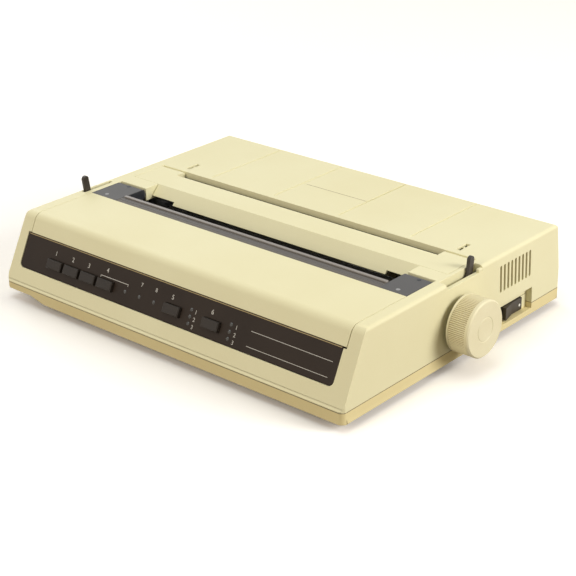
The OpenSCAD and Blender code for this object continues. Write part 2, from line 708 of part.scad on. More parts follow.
// Rear flap: front strip, sloping lip with its two cut-outs, ears beside the paper slot, barrels and pins
module paper_flap() placed() color(beige) {
  x0 = cover_x0 + seam / 2;
  x1 = cover_x1 - seam / 2;
  y0 = yf(flap_front);
  y1 = y0 + flap_strip;
  box([x0, x1], [y0, y1], [case_h - cover_t, case_h]);
  difference() {
    along_x(open_x0 + clear, open_x1 - clear) polygon([[y0 + 2.6, case_h], [y0, case_h],
      [y0 - lip_run, case_h - lip_drop], [y0 - lip_run + 1.6, case_h - lip_drop - 0.6],
      [y0 + 2.6, case_h - cover_t - 1]]);
    box([open_x0 - 1, open_x0 + notch_l], [y0 - 20, y0 + 20], [case_h - 20, case_h - lip_drop + 2.4]);
    box([open_x1 - 6.5 - notch_r, open_x1 - 6.5], [y0 - 20, y0 + 20], [case_h - 20, case_h - lip_drop + 2.4]);
  }
  box([x0 + ear_w, x1 - ear_w], [y1 - 2, y1], [case_h - 5, case_h - 1]);
  for (x = [[x0, x0 + ear_w], [x1 - ear_w, x1]]) {
    box(x, [y1 - 1, flap_axis[0]], [case_h - cover_t, case_h]);
    bar_x(flap_axis, flap_barrel_r, x[0], x[1]);
  }
  bar_x(flap_axis, flap_pin_r, x0 - web_t, x0);
  bar_x(flap_axis, flap_pin_r, x1, x1 + web_t);
  for (x = [paper_x - 100, paper_x, paper_x + 100])
    box([x, x + 1.6], [y0 + 2, y1 - 1], [case_h - cover_t - 2, case_h - cover_t]);
}

// Steel tray with folded edges, the idler's post and the frame flanges' seat
module chassis_tray() placed() color(steel) {
  y0 = rail_y - 4;
  y1 = tray_y1;
  difference() {
    box([frame_x0 - frame_t, frame_x1 + frame_t], [y0, y1], [tray_z, tray_top]);
    for (x = [paper_x - 75, paper_x + 35]) box([x, x + 40], [press_at[0] - 26, press_at[0] - 12], [0, big]);
  }
  for (y = [y0, y1 - tray_t]) box([frame_x0 + 4, frame_x1 - 4], [y, y + tray_t], [tray_z, tray_top + 5]);
  translate([idle_x, belt_y, tray_top - 0.5]) {
    cylinder(h = belt_z + belt_h + 1.4 - tray_top, r = 2);
    cylinder(h = belt_z - 0.8 - tray_top, r = 4);
  }
}

// Outline of a side frame, as [y, z]
module frame_outline() {
  y0 = rail_y - 2;
  y1 = pinion_at[0] + motor_r + 2;
  polygon([[y0, tray_top], [y0, deck_z - 1], [guide_at[0] - 8, deck_z + 2], [guide_at[0] + 6, deck_z + 8],
    [bail_pivot[0] - 2, deck_z + 14], [platen_at[0] - 6, case_h - 14], [tractor_at[0] + 4, case_h - 10],
    [y1 - 8, case_h - 18], [y1, case_h - 28], [y1, tray_top]]);
}

module frame_plate(x) difference() {
  along_x(x, x + frame_t) frame_outline();
  bar_x(platen_at, shaft_r + 2, x - 1, x + frame_t + 1);
  bar_x(tractor_at, 3 + run, x - 1, x + frame_t + 1);
  bar_x(guide_at, guide_r, x - 1, x + frame_t + 1);
  bar_x(bail_pivot, 3 + run, x - 1, x + frame_t + 1);
  bar_x(press_at, 2.5 + run, x - 1, x + frame_t + 1);
  bar_x(pinion_at, 5, x - 1, x + frame_t + 1);
  along_x(x - 1, x + frame_t + 1) translate([guide_at[0] - 22, tray_top + 10]) circle(r = 5);
}

// Left frame with the stud of the middle gear
module side_frame_left() placed() color(steel) {
  frame_plate(frame_x0 - frame_t);
  box([frame_x0 - 0.01, frame_x0 + 10], [belt_y + motor_r + 1, pinion_at[0]], [tray_top, tray_top + 1]);
  bar_x(mid_at, 2, mid_gear_x - gear_w - 1, frame_x0 - frame_t + 0.5);
  bar_x(mid_at, 4, mid_gear_x + 0.3, frame_x0 - frame_t + 0.5);
}

module side_frame_right() placed() color(steel) {
  frame_plate(frame_x1);
  box([frame_x1 - 10, frame_x1 + 0.01], [rail_y + 4, pinion_at[0]], [tray_top, tray_top + 1]);
}

module platen_bushes() placed() color([0.85, 0.85, 0.8])
  for (x = [frame_x0 - frame_t, frame_x1]) difference() {
    union() {
      bar_x(platen_at, shaft_r + 2, x, x + frame_t);
      if (x < 0) bar_x(platen_at, shaft_r + 3.5, x + frame_t, x + frame_t + 1.5);
      else bar_x(platen_at, shaft_r + 3.5, x - 1.5, x);
    }
    bar_x(platen_at, shaft_r + run, x - 5, x + 8);
  }

// Curved guide that carries the paper under the platen, with windows for the pressure rollers
module paper_pan() placed() color(steel) difference() {
  bar_x(platen_at, platen_r + 2.4, frame_x0, frame_x1);
  bar_x(platen_at, platen_r + 1.4, frame_x0 - 1, frame_x1 + 1);
  along_x(frame_x0 - 1, frame_x1 + 1) polygon([platen_at, polar(platen_at, 60, 212),
    polar(platen_at, 90, 150), polar(platen_at, 90, 90), polar(platen_at, 90, 30), polar(platen_at, 60, -22)]);
  for (x = roller_x) along_x(x - 8.5, x + 8.5)
    polygon([platen_at, polar(platen_at, 40, 236), polar(platen_at, 40, 284)]);
}
roller_x = [for (k = [-1.5 : 1 : 1.5]) paper_x + k * 62];

module platen_roller() placed() color(black) difference() {
  bar_x(platen_at, platen_r, platen_x0, platen_x1);
  bar_x(platen_at, shaft_r, platen_x0 - 1, platen_x1 + 1);
}

module platen_shaft() placed() color(steel)
  bar_x(platen_at, shaft_r, tractor_gear_x - gear_w - 1, side_x + knob_reach - knob_w + 12);

// Outline of an involute gear with n teeth, the first on the +Y side turned by turn
module gear_outline(n, turn) {
  rp = pitch_r(n);
  rb = rp * cos(20);
  ra = rp + 0.9 * gear_m;
  rf = rp - 1.1 * gear_m;
  half = 90 / n + tan(20) * 180 / PI - 20 - 0.07 / rp * 180 / PI;
  t0 = rf > rb ? sqrt(pow(rf / rb, 2) - 1) : 0;
  t1 = sqrt(pow(ra / rb, 2) - 1);
  steps = 3;
  flank = [for (k = [0 : steps]) let (t = t0 + (t1 - t0) * k / steps)
    [rb * sqrt(1 + t * t), half - t * 180 / PI + atan(t)]];
  start = half - t0 * 180 / PI + atan(t0);
  polygon([for (k = [0 : n - 1]) let (a = turn + k * 360 / n) each concat(
    rf < rb ? [polar([0, 0], rf, a - start)] : [],
    [for (f = flank) polar([0, 0], f[0], a - f[1])],
    [for (i = [steps : -1 : 0]) polar([0, 0], flank[i][0], a + flank[i][1])],
    rf < rb ? [polar([0, 0], rf, a + start)] : [])]);
}

module platen_gear() placed() color([0.9, 0.9, 0.86]) difference() {
  along_x(tractor_gear_x - gear_w, mid_gear_x) translate(platen_at) difference() {
    gear_outline(platen_teeth, 0);
    circle(r = shaft_r);
  }
  for (a = [30 : 60 : 330])
    bar_x(polar(platen_at, 10, a), 2.6, tractor_gear_x - gear_w - 1, mid_gear_x + 1);
}

// Knob with a ribbed grip between two plain rims, a dished face and a hub on the shaft
module paper_knob() placed() color(beige) {
  x1 = side_x + knob_reach;
  x0 = x1 - knob_w;
  ribs = [for (k = [0 : 2 * knob_ribs - 1])
    polar([0, 0], knob_r - (k % 2 == 0 ? 0.1 : 0.95), k * 180 / knob_ribs)];
  difference() {
    union() {
      bar_x(platen_at, knob_r, x0, x0 + 1.6);
      along_x(x0 + 1.6, x1 - 3.4) translate(platen_at) polygon(ribs);
      bar_x(platen_at, knob_r, x1 - 3.4, x1 - 1);
      translate([x1 - 1, platen_at[0], platen_at[1]]) rotate([0, 90, 0])
        cylinder(h = 1, r1 = knob_r, r2 = knob_r - 1);
    }
    bar_x(platen_at, knob_r - 3, x0 - 1, x1 - 3);
  }
  difference() {
    bar_x(platen_at, shaft_r + 3, x0 + 1, x1 - 2.9);
    bar_x(platen_at, shaft_r, x0, x0 + 12);
  }
  difference() {
    for (a = [0, 60, 120]) along_x(x0 + 4, x1 - 2.9) translate(platen_at) rotate(a)
      square([2 * knob_r - 5, 1.4], center = true);
    bar_x(platen_at, shaft_r + 1, x0, x1);
  }
}

sprocket_x = [platen_x0 + sprocket_in, platen_x1 - sprocket_in];

module tractor_shaft() placed() color(steel)
  bar_x(tractor_at, 3, tractor_gear_x - gear_w - 1, frame_x1 + frame_t + 2);

module tractor_gear() placed() color([0.9, 0.9, 0.86])
  along_x(tractor_gear_x - gear_w, tractor_gear_x) translate(tractor_at) difference() {
    gear_outline(tractor_teeth, tractor_turn);
    circle(r = 3);
  }

// Two pin wheels that draw the fanfold paper
module sprocket_wheels() placed() color(black)
  for (x = sprocket_x) translate([x, tractor_at[0], tractor_at[1]]) {
    difference() {
      rotate([0, 90, 0]) cylinder(h = 8, r = sprocket_r, center = true);
      rotate([0, 90, 0]) cylinder(h = 9, r = 3, center = true);
    }
    for (k = [0 : sprocket_pins - 1]) rotate([90 + k * 360 / sprocket_pins, 0, 0])
      translate([0, 0, sprocket_r - 0.4]) cylinder(h = 2.6, r1 = 1.8, r2 = 0.9, $fn = 24);
  }

bar_at = tractor_at + [sprocket_r + 6.2, 2];
module tractor_bar() placed() color(steel) bar_x(bar_at, 3, frame_x0, frame_x1);

// Carriers beside each pin wheel, hung on the tractor bar
module tractor_guides() placed() color(black)
  for (x = sprocket_x, s = [-1, 1]) difference() {
    along_x(x + s * 6.2 - 1.5, x + s * 6.2 + 1.5) {
      translate(tractor_at) circle(r = sprocket_r - 2);
      translate(bar_at) circle(r = 5);
      polygon([tractor_at + [0, -9], bar_at + [0, -5], bar_at + [0, 4.9], tractor_at + [0, 10]]);
    }
    bar_x(tractor_at, 3 + run, x - 10, x + 10);
    bar_x(bar_at, 3, x - 10, x + 10);
  }

module middle_gear() placed() color([0.9, 0.9, 0.86])
  along_x(mid_gear_x - gear_w, mid_gear_x) translate(mid_at) difference() {
    gear_outline(mid_teeth, mid_turn);
    circle(r = 2 + run);
  }

module motor_pinion() placed() color([0.8, 0.7, 0.35]) {
  along_x(mid_gear_x - gear_w, mid_gear_x) translate(pinion_at) gear_outline(pinion_teeth, pinion_turn);
  bar_x(pinion_at, 1.5, mid_gear_x - 0.5, frame_x0 + 12.5);
}

module line_feed_motor() placed() color(steel) difference() {
  union() {
    bar_x(pinion_at, motor_r, frame_x0, sprocket_x[0] - 8.4);
    bar_x(pinion_at, 5, frame_x0 - frame_t, frame_x0 + 1);
    box([frame_x0 + 6, frame_x0 + 14], [pinion_at[0] - 7, pinion_at[0] + 7],
      [pinion_at[1] + 8, pinion_at[1] + motor_r + 2]);
  }
  bar_x(pinion_at, 1.5 + run, frame_x0 - 5, frame_x0 + 13);
}

// Shaft of the pressure rollers with its four arms and the crank at its right end
module pressure_shaft() placed() color(steel) {
  bar_x(press_at, 2.5, frame_x0 - frame_t - 1, release_x - 4);
  for (x = roller_x, s = [-1, 1]) along_x(x + s * 6.4 - 0.6, x + s * 6.4 + 0.6) {
    translate(press_at) circle(r = 3.5);
    translate(press_roller) circle(r = 2.6);
    polygon([press_at + [0, -3], press_at + [0, 3], press_roller + [0, 2.2], press_roller + [0, -2.2]]);
  }
  for (x = roller_x) bar_x(press_roller, 1.2, x - 7, x + 7);
  along_x(release_x - 7, release_x - 4) {
    translate(press_at) circle(r = 4.5);
    polygon([press_at + [-3.5, 2], press_at + [-1.5, 9], press_at + [1.5, 9], press_at + [3.5, 2]]);
  }
}

module pressure_rollers() placed() color(black) for (x = roller_x) difference() {
  bar_x(press_roller, 4, x - 5.6, x + 5.6);
  bar_x(press_roller, 1.2, x - 7, x + 7);
}

// Bail: pivot stubs, two arms and the rod above the print head
bail_x = [frame_x0 + 5, frame_x1 - 7];
module bail_frame() placed() color(steel) {
  bar_x(bail_pivot, 3, lever_x + lever_t / 2, bail_x[0] + 1);
  bar_x(bail_pivot, 3, bail_x[1] + 1, frame_x1 + frame_t + 1);
  for (x = bail_x) along_x(x, x + 2) {
    translate(bail_pivot) circle(r = 5);
    translate(bail_open) circle(r = 3.4);
    polygon([bail_pivot + [-4, 0], bail_open + [-3.2, 0], bail_open + [3.2, 0], bail_pivot + [4, 0]]);
  }
  bar_x(bail_open, 1.6, bail_x[0], bail_x[1] + 2);
}

module bail_rollers() placed() color(black) for (k = [-1.5 : 1 : 1.5]) difference() {
  bar_x(bail_open, bail_r, paper_x + k * 58 - 7, paper_x + k * 58 + 7);
  bar_x(bail_open, 1.6, paper_x + k * 58 - 8, paper_x + k * 58 + 8);
}

// Arm of a lever at x, from its hub over a knee to a round-topped finger tab
module lever_arm(x, hub, hub_w, knee, top) {
  a = atan2(top[1] - knee[1], top[0] - knee[0]);
  c = polar(top, -tab_w / 2, a);
  along_x(x - lever_t / 2, x + lever_t / 2)
    polygon([hub + [-hub_w / 2, 0], knee + [-tab_w / 2, 0], polar(c, tab_w / 2, a + 90),
      polar(c, tab_w / 2, a - 90), knee + [tab_w / 2, 0], hub + [hub_w / 2, 0]]);
  bar_x(c, tab_w / 2, x - lever_t / 2, x + lever_t / 2);
}

// Bail lever: hub on the bail's stub, cranked arm and finger tab
module bail_lever() placed() color(black) {
  knee = [bail_tab_y + 2.2, case_h - 2];
  bar_x(bail_pivot, 7, lever_x - lever_t / 2, lever_x + lever_t / 2);
  lever_arm(lever_x, bail_pivot, 10, knee, [bail_tab_y, case_h + bail_up]);
}

// Release lever: ring round the case's bearing boss, arm and finger tab
module release_lever() placed() color(black) {
  knee = [release_tab_y - 1.5, dip_z + 1];
  difference() {
    union() {
      bar_x(platen_at, 13, release_x - lever_t / 2, release_x + lever_t / 2);
      lever_arm(release_x, platen_at + [4, 6], 9, knee, [release_tab_y, case_h + release_up]);
    }
    bar_x(platen_at, 9 + run, release_x - 5, release_x + 5);
  }
}

module carriage_shaft() placed() color(steel)
  bar_x(guide_at, guide_r, frame_x0 - frame_t, frame_x1 + frame_t);

// Folded rail under the front of the carriage
module guide_rail() placed() color(steel) along_x(frame_x0, frame_x1) polygon([[rail_y, tray_top],
  [rail_y + 1.2, tray_top], [rail_y + 1.2, deck_z - clear - 1.2], [rail_y + 7, deck_z - clear - 1.2],
  [rail_y + 7, deck_z - clear], [rail_y, deck_z - clear]]);

// Carriage: bored block, rear cradle for the head, front deck, belt clamp and cartridge posts
module carriage() placed() color(black) {
  g = guide_at;
  half_w = carriage_w / 2;
  difference() {
    along_x(carriage_x - half_w, carriage_x + half_w) polygon([g + [-8, -7], g + [8, -7], g + [8, 5],
      g + [16, 6.7], g + [16, 9], g + [-4, 9], [g[0] - 4, deck_z + deck_t], [rail_y + 1, deck_z + deck_t],
      [rail_y + 1, deck_z], [g[0] - 7, deck_z], g + [-7, 6], g + [-8, 6]]);
    bar_x(g, guide_r + run, carriage_x - big, carriage_x + big);
  }
  difference() {
    box([carriage_x - 6, carriage_x + 6], [belt_y + 3, belt_y + 9], [belt_z - 1, deck_z + 0.5]);
    box(around(carriage_x, 14), around(belt_y + pulley_r + clear + belt_t / 2, belt_t + 0.8),
      [belt_z - 2, belt_z + belt_h + 0.4]);
  }
  for (s = [-1, 1]) box([carriage_x + s * 15 - 2, carriage_x + s * 15 + 2], [g[0] - 26, g[0] - 20],
    [deck_z + deck_t, cart_z]);
}
cart_z = deck_z + deck_t + 5;                // underside of the cartridge
nose_y = platen_at[0] - platen_r - head_gap;

// Print head: barrel with cooling fins and a wire nose that faces the platen
module print_head() placed() color(steel) {
  z0 = guide_at[1] + 9;
  c = platen_at[1] + 0.5;
  y0 = guide_at[0] - 3;
  translate([carriage_x, y0, c]) rotate([-90, 0, 0]) cylinder(h = 18, r = 5.4);
  for (k = [0 : 5]) box([carriage_x - 12, carriage_x + 12], [y0 + k * 3, y0 + k * 3 + 1.4], [z0, c + 8.4]);
  along_x(carriage_x - 5, carriage_x + 5) polygon([[y0 + 16, z0 + 0.6], [nose_y - 2, platen_at[1] - 3.5],
    [nose_y, platen_at[1] - 3], [nose_y, platen_at[1] + 4], [nose_y - 4, platen_at[1] + 5],
    [y0 + 16, c + 6.6]]);
}

// Ribbon cartridge with two arms that hold the ribbon before the platen
module ribbon_cartridge() placed() color(black) difference() {
  y0 = guide_at[0] - 32;
  y1 = bail_open[0] - bail_r - 1.6;
  union() {
    translate([carriage_x, (y0 + y1) / 2, cart_z]) linear_extrude(ribbon_h) round_rect(ribbon_w, y1 - y0, 5);
    translate([carriage_x, (y0 + y1) / 2, cart_z + ribbon_h]) linear_extrude(1.2)
      round_rect(ribbon_w - 8, y1 - y0 - 8, 3);
    for (s = [-1, 1]) along_x(carriage_x + s * 17 - 2, carriage_x + s * 17 + 2)
      polygon([[y1 - 6, cart_z + 2], [y1 - 4, cart_z - 1], [nose_y - 8, cart_z - 2],
        [nose_y + 0.4, cart_z - 4], [nose_y + 0.4, platen_at[1] - 3], [nose_y - 6, platen_at[1] - 3],
        [y1 - 8, cart_z - 6], [y1 - 10, cart_z + 2]]);
  }
  translate([carriage_x + knob_side, (y0 + y1) / 2, cart_z + 4]) cylinder(h = 20, r = 2 + run);
}
knob_side = -22;

module ink_ribbon() placed() color(black)
  box([carriage_x - 19, carriage_x + 19], [nose_y + 0.4, nose_y + 0.7], [platen_at[1] - 3, cart_z - 4]);

// Winding knob on the cartridge
module ribbon_knob() placed() color(base_beige) {
  y = (guide_at[0] - 32 + bail_open[0] - bail_r - 1.6) / 2;
  translate([carriage_x + knob_side, y, cart_z + ribbon_h + 1.2 + clear]) difference() {
    cylinder(h = 3, r = 7);
    for (a = [0 : 20 : 340]) rotate(a) translate([7.4, 0, -1]) cylinder(h = 6, r = 0.9, $fn = 16);
  }
  translate([carriage_x + knob_side, y, cart_z + 5]) cylinder(h = ribbon_h - 2, r = 2);
}

module carriage_motor() placed() color(steel) difference() {
  translate([drive_x, belt_y, tray_top]) {
    cylinder(h = belt_z - 3 - tray_top, r = motor_r);
    cylinder(h = belt_z - 1.6 - tray_top, r = 5);
  }
  translate([drive_x, belt_y, tray_top + 3]) cylinder(h = big, r = 1.5 + run);
}

// Flanged belt pulley
module pulley() {
  cylinder(h = belt_h + 0.8, r = pulley_r);
  translate([0, 0, -0.6]) cylinder(h = 0.8, r = pulley_r + 2.2);
  translate([0, 0, belt_h + 0.6]) cylinder(h = 0.6, r = pulley_r + 2.2);
}

module motor_pulley() placed() color(base_beige) {
  translate([drive_x, belt_y, belt_z - 0.4]) pulley();
  translate([drive_x, belt_y, tray_top + 3.2]) cylinder(h = belt_z - tray_top - 3, r = 1.5);
}

module idler_pulley() placed() color(base_beige) difference() {
  translate([idle_x, belt_y, belt_z - 0.4]) pulley();
  translate([idle_x, belt_y, 0]) cylinder(h = big, r = 2 + run);
}

module belt_loop(r) {
  translate([(drive_x + idle_x) / 2, belt_y]) square([idle_x - drive_x, 2 * r], center = true);
  for (x = [drive_x, idle_x]) translate([x, belt_y]) circle(r = r);
}

module timing_belt() placed() color(black) translate([0, 0, belt_z + 0.2]) linear_extrude(belt_h - 0.4)
  difference() {
    belt_loop(pulley_r + clear + belt_t);
    belt_loop(pulley_r + clear);
  }

// Main board on posts behind the chassis
module main_board() placed() color(board_green) {
  x0 = -side_x + 30;
  x1 = inlet_x - 75;
  y0 = tray_y1 + 3;
  y1 = case_d / 2 - 12;
  chip_y = [y0 + 0.14 * (y1 - y0), y0 + 0.35 * (y1 - y0)];
  box([x0, x1], [y0, y1], [floor_z + 5, floor_z + 6.6]);
  for (x = [x0 + 5, x1 - 5], y = [y0 + 5, y1 - 5]) translate([x, y, floor_z]) cylinder(h = 5, r = 2.5);
  for (k = [0 : 3]) box([x0 + 14 + k * 42, x0 + 48 + k * 42], chip_y, [floor_z + 6.6, floor_z + 10]);
  for (k = [0 : 4]) translate([x1 - 14 - k * 13, y1 - 10, floor_z + 6.6]) cylinder(h = 14, r = 4);
}

module transformer() placed() color([0.35, 0.33, 0.3]) {
  x = inlet_x - 45;
  y = tray_y1 + 4 + core_d / 2;
  half = core_d / 2;
  translate([x - 24, y - half, floor_z]) cube([48, core_d, 2]);
  difference() {
    translate([x - 21, y - 0.45 * half, floor_z + 1.5]) cube([42, 0.9 * half, 34.5]);
    for (s = [-1, 1]) translate([x + s * 10.5 - 3.5, y - half, floor_z + 9]) cube([7, core_d, 20]);
  }
  translate([x - 13.8, y - 0.8 * half, floor_z + 9.2]) cube([27.6, 1.6 * half, 19.6]);
}

// Body of the power switch behind its recess, with ears that fill the hole beside the rocker
module switch_body() placed() color(black) difference() {
  union() {
    box([recess_x - wall - 18, recess_x - wall], around(rocker_at[1], rocker_l + 4),
      around(rocker_at[2], rocker_h + 4));
    box([recess_x - wall - 1.5, recess_x - 0.3], [recess_y[0] + clear, recess_y[1] - clear],
      around(rocker_at[2], switch_slot_h - 2 * clear));
  }
  box([recess_x - wall - 8, side_x], around(rocker_at[1], rocker_l + 2), around(rocker_at[2], rocker_h + 1));
  translate([rocker_at[0], rocker_at[1], rocker_at[2] - rocker_h]) cylinder(h = 2 * rocker_h, r = 1.5 + run);
}

// Rocker with a shallow V face on a vertical pivot, its rear end pressed in
module power_rocker() placed() color(black) translate(rocker_at) rotate(6) {
  u = rocker_wall + 1.4;
  translate([0, 0, -rocker_h / 2]) linear_extrude(rocker_h) polygon([[-3, 1.5 - rocker_l / 2],
    [u + 1.6, -rocker_l / 2], [u, 0], [u + 1.6, rocker_l / 2], [-3, rocker_l / 2 - 1.5]]);
  translate([0, 0, -rocker_h / 2 - 1.3]) cylinder(h = rocker_h + 2.6, r = 1.5);
}

// Three-pin mains inlet behind the rear wall
module power_inlet() placed() color(black) translate([inlet_x, case_d / 2 - 3.8, inlet_z]) {
  difference() {
    union() {
      along_y(-18, 0) round_rect(inlet_w - 2 * clear, inlet_h - 2 * clear, 3);
      along_y(-3.8, -2.2) round_rect(inlet_w + 6, inlet_h + 4, 2);
    }
    along_y(-16, 1) round_rect(inlet_w - 4, inlet_h - 5, 3);
  }
  for (p = [[-7, 1], [0, -3], [7, 1]]) translate([p[0] - 1, -16.5, p[1] - 2]) cube([2, 8, 4]);
}

// 36-way printer port with its metal shell and wire clips, standing on the main board
module interface_connector() placed() color(steel) translate([port_x, case_d / 2 - 4.2, port_z]) {
  difference() {
    union() {
      along_y(-12, -1) round_rect(port_w - 16, 11, 3);
      along_y(-4.2, -3) round_rect(port_w + 4, port_h + 2, 2);
    }
    along_y(-10, 0) round_rect(port_w - 18.4, 8.6, 2);
  }
  along_y(-11, -2) square([port_w - 24, 2.6], center = true);
  translate([-port_w / 2 + 10, -20, floor_z + 6.6 - port_z]) cube([port_w - 20, 9, port_z - floor_z - 1]);
  for (s = [-1, 1]) difference() {
    along_y(-3, 1) translate([s * (port_w / 2 - 3.4), 0]) square([2.4, 10], center = true);
    along_y(-2, 2) translate([s * (port_w / 2 - 3.4), 0]) square([3, 6], center = true);
  }
}

lower_case();
upper_case();
rear_cover();
rubber_feet();
case_screws();
control_panel();
panel_board();
indicator_lenses();
line_feed_key();
form_feed_key();
top_set_key();
online_key();
pitch_key();
style_key();
access_cover();
cover_window();
cover_end_plates();
paper_flap();
chassis_tray();
side_frame_left();
side_frame_right();
platen_bushes();
paper_pan();
platen_roller();
platen_shaft();
platen_gear();
paper_knob();
tractor_shaft();
tractor_gear();
sprocket_wheels();
tractor_bar();
tractor_guides();
middle_gear();
motor_pinion();
line_feed_motor();
pressure_shaft();
pressure_rollers();
bail_frame();
bail_rollers();
bail_lever();
release_lever();
carriage_shaft();
guide_rail();
carriage();
print_head();
ribbon_cartridge();
ink_ribbon();
ribbon_knob();
carriage_motor();
motor_pulley();
idler_pulley();
timing_belt();
main_board();
transformer();
switch_body();
power_rocker();
power_inlet();
interface_connector();
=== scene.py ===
import math
import bpy
from mathutils import Matrix, Vector


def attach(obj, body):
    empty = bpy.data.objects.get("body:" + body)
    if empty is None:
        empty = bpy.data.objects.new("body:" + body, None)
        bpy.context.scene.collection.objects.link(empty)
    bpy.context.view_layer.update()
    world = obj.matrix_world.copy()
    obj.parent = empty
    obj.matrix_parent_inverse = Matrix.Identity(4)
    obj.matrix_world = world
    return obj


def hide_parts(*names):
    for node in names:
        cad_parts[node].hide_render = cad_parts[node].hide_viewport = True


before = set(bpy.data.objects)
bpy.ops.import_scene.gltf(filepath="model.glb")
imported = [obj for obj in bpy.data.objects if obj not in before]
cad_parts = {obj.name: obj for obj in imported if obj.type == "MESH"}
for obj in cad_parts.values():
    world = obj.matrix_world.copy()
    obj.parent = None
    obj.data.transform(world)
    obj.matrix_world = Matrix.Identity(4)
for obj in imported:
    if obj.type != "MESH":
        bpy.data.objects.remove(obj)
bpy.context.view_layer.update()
print("stage: frame loaded")

mm = 0.001
caseShift = -11.5      # the case lies left of the model's middle, because of the knob
depthHalf = 137.5      # half the depth of the case


def place(x, fromFront, z):
    return Vector(((x + caseShift) * mm, (fromFront - depthHalf) * mm, z * mm))


# camera at the photograph's place

view = {
    "lens": 95.486, "sensor": 36,
    "at": (0.751497, -0.842856, 0.527604),
    "turn": 0.729718, "down": 0.426798, "roll": -0.021382,      # radians
    "near": 0.05, "far": 20,
}


def makeCamera():
    turn, down, roll = view["turn"], view["down"], view["roll"]
    back = Vector((math.sin(turn) * math.cos(down), -math.cos(turn) * math.cos(down), math.sin(down)))
    right = (-back).cross(Vector((0, 0, 1))).normalized()
    up = right.cross(-back)
    turned = math.cos(roll) * right + math.sin(roll) * up
    upright = -math.sin(roll) * right + math.cos(roll) * up
    data = bpy.data.cameras.new("photoCamera")
    data.lens, data.sensor_width = view["lens"], view["sensor"]
    data.clip_start, data.clip_end = view["near"], view["far"]
    camera = bpy.data.objects.new("photoCamera", data)
    bpy.context.collection.objects.link(camera)
    camera.matrix_world = Matrix((turned, upright, back)).transposed().to_4x4()
    camera.location = view["at"]
    bpy.context.scene.camera = camera


makeCamera()


# materials: two colours each, clouded and grained, with roughness and bump from the same noises

